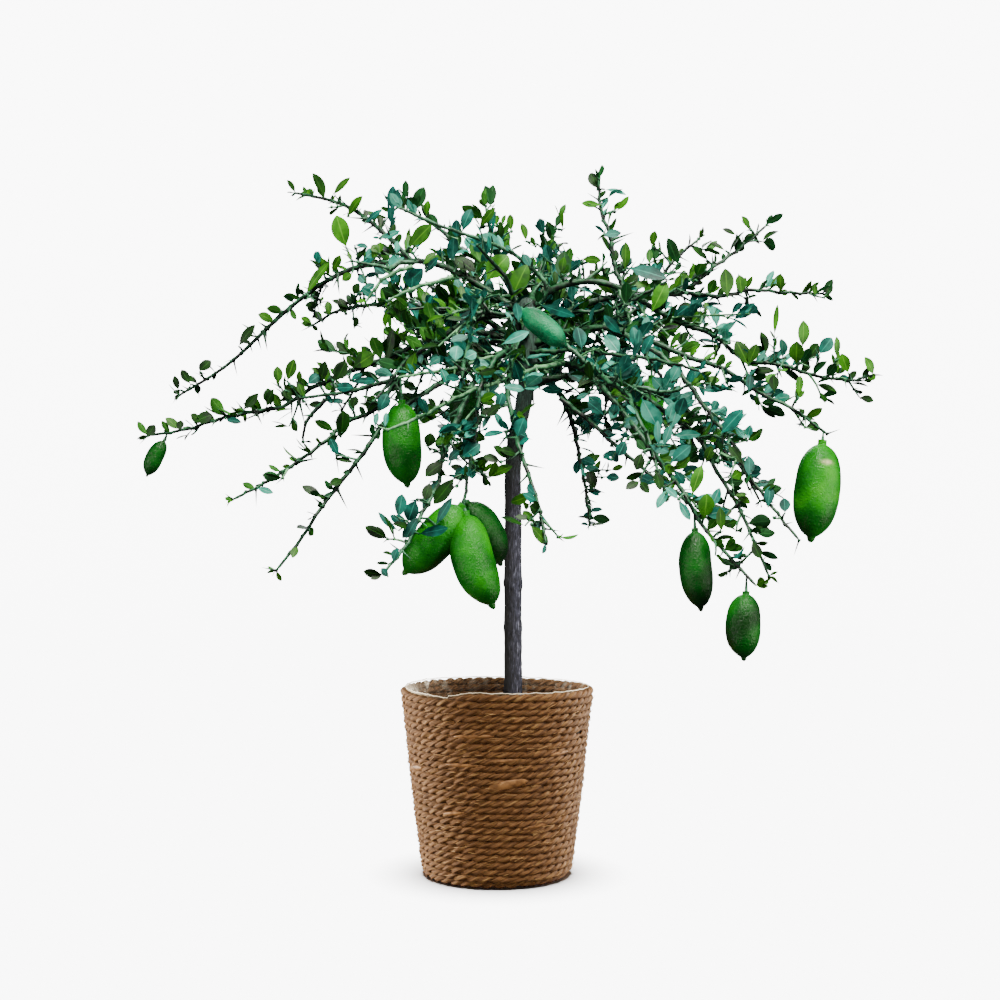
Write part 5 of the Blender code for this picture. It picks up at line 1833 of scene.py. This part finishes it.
def grass_finish():
    """Dried seagrass twisted into rope: brown blades of many shades, fibrous, painted darker in the crevices as
    shade.
    """
    made, tree = new_finish("dried_seagrass", Roughness=0.75, Specular_IOR_Level=0.18)
    strand = add(tree, PAINTED, attribute_name="strand")["Vector"]
    fibre = add(tree, STRETCH, {"Vector": strand, "Scale": (8, 8, 1 / (9 * MM))})["Vector"]
    fine = add(tree, NOISE, {"Vector": fibre, "Scale": 1.0, "Detail": 5, "Roughness": 0.7})["Fac"]
    length = add(tree, STRETCH, {"Vector": strand, "Scale": (2.5, 2.5, 1 / (16 * MM))})["Vector"]
    blade = add(tree, NOISE, {"Vector": length, "Scale": 1.0, "Detail": 2})["Fac"]
    stops = ((0.28, "#50341e"), (0.42, "#624326"), (0.56, "#725030"), (0.72, "#88693f"))
    tint = add(tree, RAMP, [blade], stops)["Color"]
    # Painted shade: grass that lies in from the rope's outer face is darkened
    proud = add(tree, PAINTED, attribute_name="proud")["Fac"]
    for share, stops in ((fine, ((0.32, 0.38), (0.64, 1.18))), (proud, ((0.05, 0.86), (0.60, 1.0)))):
        tone = add(tree, RAMP, [share], stops)["Color"]
        tint = add(tree, MIX, {0: 1.0, 6: tint, 7: tone}, **TIMES)[2]
    bumps = add(tree, BUMP, {"Height": fine, "Strength": 0.9, "Distance": 0.7 * MM})["Normal"]
    return coated(made, Base_Color=tint, Normal=bumps)


def straw_finish(name, dark, light):
    """Loose ends and broad blades of seagrass, drier and paler than the rope, a little glossy."""
    made, tree = new_finish(name, Roughness=0.6, Specular_IOR_Level=0.3)
    patch = add(tree, NOISE, {"Vector": add(tree, SPOT)["Object"], "Scale": 1 / (8 * MM), "Detail": 2})["Fac"]
    return coated(made, Base_Color=add(tree, RAMP, [patch], ((0.38, dark), (0.62, light)))["Color"])


def core_finish():
    """Packed grass deep between the rope's rows: brown, painted nearly black at the hole as its shade, quite matt."""
    made, tree = new_finish("packed_dark_seagrass", Roughness=0.9, Specular_IOR_Level=0.15)
    place = add(tree, SPOT)["Object"]
    patch = add(tree, NOISE, {"Vector": place, "Scale": 1 / (3 * MM), "Detail": 3})["Fac"]
    tint = add(tree, RAMP, [patch], ((0.35, "#2e1e0e"), (0.65, "#5e4222")))["Color"]
    # Painted shade: the core goes nearly black at the hole
    away = add(tree, VECTORS, (place, HOLE), operation="DISTANCE")["Value"]
    span = {"Value": away, "From Min": HOLE_REACH, "From Max": 2 * HOLE_REACH, "To Min": 0.1, "To Max": 1.0}
    tint = add(tree, MIX, {0: 1.0, 6: tint, 7: add(tree, SPAN, span)["Result"]}, **TIMES)[2]
    bumps = add(tree, BUMP, {"Height": patch, "Strength": 0.6, "Distance": 0.6 * MM})["Normal"]
    return coated(made, Base_Color=tint, Normal=bumps)


def film_finish():
    """Thin clear polythene gone milky at its creases and along its folded edge."""
    film = hex_colour("#fff6e2")
    made, tree = new_finish("creased_clear_film", Roughness=0.3, Specular_IOR_Level=0.5, Base_Color=film)
    place = add(tree, SPOT)["Object"]
    crease = add(tree, NOISE, {"Vector": place, "Scale": 1 / (9 * MM), "Detail": 5, "Roughness": 0.7})["Fac"]
    milky = add(tree, RAMP, [crease], ((0.52, 0.05), (0.72, 0.9)))["Color"]
    fold = add(tree, PAINTED, attribute_name="fold")["Fac"]
    least = add(tree, MATHS, (fold, 0.15), operation="ADD")[0]
    covered = add(tree, MATHS, (milky, least), operation="MULTIPLY")[0]
    edge = add(tree, MATHS, (fold, 3.0), operation="POWER")[0]
    solid = add(tree, MATHS, (covered, edge), operation="MAXIMUM", use_clamp=True)[0]
    bumps = add(tree, BUMP, {"Height": crease, "Strength": 0.8, "Distance": 1.0 * MM})["Normal"]
    return coated(made, Alpha=solid, Normal=bumps)


def soil_finish():
    """Damp potting soil: near black crumbs with brown flecks of bark and coir."""
    made, tree = new_finish("damp_potting_soil", Roughness=0.95, Specular_IOR_Level=0.2)
    crumbs = add(tree, CELLS, {"Vector": add(tree, SPOT)["Object"], "Scale": 1 / (3.2 * MM)})
    tint = add(tree, RAMP, [crumbs["Color"]], ((0.15, "#16100b"), (0.6, "#3a281a"), (0.85, "#6b4a2c")))["Color"]
    bumps = add(tree, BUMP, {"Height": crumbs["Distance"], "Strength": 1.0, "Distance": 1.5 * MM})["Normal"]
    return coated(made, Base_Color=tint, Normal=bumps)


# The sweep behind the plant
FLOOR_REACH = 3.2
BEND = 1.6
WALL_HEIGHT = 6.5
STAGE_SIDES = 96
BACKDROP_GLOW = 9.0
FLOOR_WASH = 33.0
WASH_SPREAD = 26


def stage_outline():
    """The run of the sweep from the floor's middle out, round and up: its reach and height."""
    flat = [(reach, 0.0) for reach in (0.15, 0.4, 0.9, 1.6, FLOOR_REACH)]
    bend = []
    for i in range(1, 17):
        turn = math.pi / 2 * i / 16
        bend.append((FLOOR_REACH + BEND * math.sin(turn), BEND * (1 - math.cos(turn))))
    return flat + bend + [(FLOOR_REACH + BEND, WALL_HEIGHT)]


def make_stage():
    """A pale sweep all round, floor and wall in one, that throws no light on the plant."""
    colours = {"Base_Color": grey(0.85), "Emission_Color": grey(1)}
    pale, tree = new_finish("pale_sweep", Roughness=1.0, Specular_IOR_Level=0.0, **colours)
    coated(pale, Emission_Strength=add(tree, PAINTED, attribute_name="glow")["Fac"])
    shape = bmesh.new()
    glow = shape.verts.layers.float.new("glow")
    outline = stage_outline()
    ways = [(b[0] - a[0], b[1] - a[1]) for a, b in zip(outline, outline[1:])]
    ways.append(ways[-1])
    rings = []
    for (reach, height), (run, rise) in zip(outline, ways):
        level = run / math.hypot(run, rise)
        ring = []
        for turn in round_steps(STAGE_SIDES):
            vert = shape.verts.new((reach * math.cos(turn), reach * math.sin(turn), height))
            vert[glow] = BACKDROP_GLOW * (1 - level)
            ring.append(vert)
        rings.append(ring)
    skin(shape, rings)
    shape.faces.new(rings[0])
    sweep_piece = finish_mesh(shape, "sweep", pale)
    sweep_piece.visible_diffuse = False
    sweep_piece.visible_glossy = False
    sweep_piece.visible_shadow = False
    return sweep_piece


# Each lamp: what it lights, its place, size, power and colour
SURROUND = 0.07
LAMP_AIM = Vector((0.0, 0.0, 0.38))
SOFTBOXES = (
    ("overhead_softbox", "all", (0.35, -1.0, 2.1), (0.8, 0.8), 108, "#fff9f0"),
    ("left_softbox", "plant", (-1.5, -1.1, 0.3), (0.6, 0.8), 20, "#fdfaf2"),
    ("right_softbox", "plant", (1.6, -0.8, 0.3), (0.6, 0.8), 26, "#fff9f0"),
    ("front_fill", "all", (0.3, -2.3, 1.5), (1.6, 1.2), 9, "#ffffff"),
    ("rear_softbox", "plant", (0.2, 1.7, 1.8), (1.0, 0.8), 30, "#f6faff"),
    ("pot_front_softbox", "pot", (0.0, -2.4, 0.15), (1.0, 0.6), 30, "#ffeccc"),
    ("pot_left_softbox", "pot", (-1.40, 0.42, 0.25), (0.8, 0.7), 112, "#fff3e0"),
    ("pot_right_softbox", "pot", (1.28, 0.62, 0.25), (0.8, 0.7), 80, "#fff3e0"),
)


def set_up(label, data, place, aim):
    """Stands a lamp or the camera at a place, to look at a point."""
    made = new_piece(label, data)
    made.location = place
    made.rotation_mode = "QUATERNION"
    made.rotation_quaternion = (aim - Vector(place)).to_track_quat("-Z", "Y")
    return made


def new_lamp(label, kind, place, power, colour):
    """A lamp that looks at the middle of the plant."""
    lamp = bpy.data.lights.new(label, kind)
    lamp.energy = power
    lamp.color = hex_colour(colour)[:3]
    return set_up(label, lamp, place, LAMP_AIM)


def lit_pieces(label, pieces, state="INCLUDE"):
    """A collection that tells a lamp which pieces it lights, or leaves out."""
    made = bpy.data.collections.new(label)
    for piece in pieces:
        made.objects.link(piece)
    for member in made.collection_objects:
        member.light_linking.link_state = state
    return made


def make_lights(sweep_piece, pot_pieces):
    """Softboxes for the plant, three more for the pot, a wash for the sweep, an even surround."""
    world = bpy.context.scene.world or bpy.data.worlds.new("surround")
    bpy.context.scene.world = world
    world.use_nodes = True
    sky = world.node_tree.nodes["Background"]
    sky.inputs["Color"].default_value = hex_colour("#eaf1fb")
    sky.inputs["Strength"].default_value = SURROUND
    groups = {
        "all": lit_pieces("plant_and_pot", [sweep_piece], "EXCLUDE"),
        "plant": lit_pieces("plant_alone", [sweep_piece, *pot_pieces], "EXCLUDE"),
        "pot": lit_pieces("pot_alone", pot_pieces),
    }
    for label, group, place, size, power, colour in SOFTBOXES:
        made = new_lamp(label, "AREA", place, power, colour)
        made.data.shape = "RECTANGLE"
        made.data.size, made.data.size_y = size
        made.light_linking.receiver_collection = groups[group]
    wash = new_lamp("floor_wash", "SUN", (0.0, 0.0, 3.0), FLOOR_WASH, "#ffffff")
    wash.data.angle = math.radians(WASH_SPREAD)
    wash.light_linking.receiver_collection = lit_pieces("sweep_alone", [sweep_piece])
    wash.light_linking.blocker_collection = lit_pieces("pot_shade", pot_pieces)


def make_camera():
    camera = bpy.data.cameras.new("camera")
    camera.lens = CAMERA_LENS
    camera.sensor_width = CAMERA_SENSOR
    bpy.context.scene.camera = set_up("camera", camera, CAMERA_PLACE, CAMERA_AIM)


# Leaves: dark and light of the upper side, rib and roughness, then dark, light and rib beneath
TINTS = {
    "deep_green": ("#031e02", "#0d3c02", "#2a6418", 0.5),
    "olive_green": ("#164402", "#2a6404", "#589420", 0.5),
    "fresh_green": ("#205a02", "#38800a", "#6cac34", 0.5),
    "blue_green": ("#023a32", "#0c6858", "#38a088", 0.48),
    "pale_blue_green": ("#187c68", "#4aae96", "#98d8c4", 0.48),
}
UNDERSIDES = {
    "deep_green": ("#083810", "#125020", "#347a3c"),
    "olive_green": ("#1a5610", "#30721c", "#609c44"),
    "fresh_green": ("#2c741c", "#4a9430", "#84bc60"),
    "blue_green": ("#0a4c42", "#1c7062", "#4c9c8a"),
    "pale_blue_green": ("#2e8c78", "#60b49e", "#a0d6c6"),
}

make_camera()
stage_piece = make_stage()

for stem_name in MASSES:
    grow_mass(stem_name)
for limb_name in BOUGHS:
    grow_on_bough(limb_name)
grow_shown_canes()
grow_shown_leaves()

bark = bark_finish()
SHOOT_FINISHES = {
    "old_shoot": shoot_finish("old_green_shoot", "#031008", "#2e6a44", 0.42),
    "green_shoot": shoot_finish("young_green_shoot", "#0a2c18", "#4e9268", 0.42),
    "pale_shoot": shoot_finish("pale_new_shoot", "#1a5430", "#78b880", 0.45),
}
make_trunk(bark)
make_boughs(shoot_finish("old_bough_bark", "#020a04", "#245c36", 0.5))

rinds = {
    "ripe": rind_finish("pitted_green_rind", ("#065c04", "#0e7406", "#1c8a0a", "#389c10"), 0.32),
    "middle": rind_finish("pitted_mid_green_rind", ("#045004", "#0a6806", "#147a08", "#248c0c"), 0.33),
    "deep": rind_finish("pitted_deep_green_rind", ("#013202", "#024406", "#04560a", "#0e6c0e"), 0.33),
    # The young fruit's teal rind, painted brighter than its own colour as light, against the crown's shade over it
    "young": rind_finish("young_rind_painted_brighter", ("#04603a", "#0c7c4e", "#1e9a66", "#48bc88"), 0.36),
}
for fruit_number, hanging in enumerate(FRUITS, 1):
    make_fruit(fruit_number, hanging, rinds[hanging.rind])

sweep = shoot_tree()
foliage_nodes = ["foliage_" + name for name in MASSES]
for look, finish in SHOOT_FINISHES.items():
    values = {"Sides": 7, "Bark": finish}
    piece = settle(through_tree("shoots_" + look, runs_mesh(look, SHOOTS[look]), sweep, values), "foliage")
    if look == "old_shoot":
        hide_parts(*foliage_nodes)

copies = copies_tree()
one_leaf, one_thorn = leaf_shape(), thorn_shape()
for tint_name, (dark, light, rib, rough) in TINTS.items():
    upper = leaf_finish(tint_name + "_leaf", dark, light, rib, rough)
    under = leaf_finish(tint_name + "_leaf_underside", *UNDERSIDES[tint_name], 0.6)
    set_copies("leaves_" + tint_name, LEAVES[tint_name], one_leaf, copies, upper, under)
for look, thorns in THORNS.items():
    finish = SHOOT_FINISHES[look]
    set_copies("thorns_" + look, thorns, one_thorn, copies, finish, finish)
bpy.data.objects.remove(one_leaf)
bpy.data.objects.remove(one_thorn)

grass = grass_finish()
pot = make_basket(grass, core_finish(), rope_tree())
pot.append(make_blades(straw_finish("broad_seagrass_blade", "#60401f", "#8a6239")))
values = {"Sides": 5, "Bark": straw_finish("pale_dry_seagrass", "#5e3e1c", "#b48e5c")}
pot.append(settle(through_tree("loose_fibres", runs_mesh("fibres", fibre_runs()), sweep, values), "seagrass"))
pot.append(make_lining(film_finish()))
soil = soil_finish()
pot.append(make_soil(soil))
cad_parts["soil"].data.materials.clear()
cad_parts["soil"].data.materials.append(soil)
make_lights(stage_piece, pot)
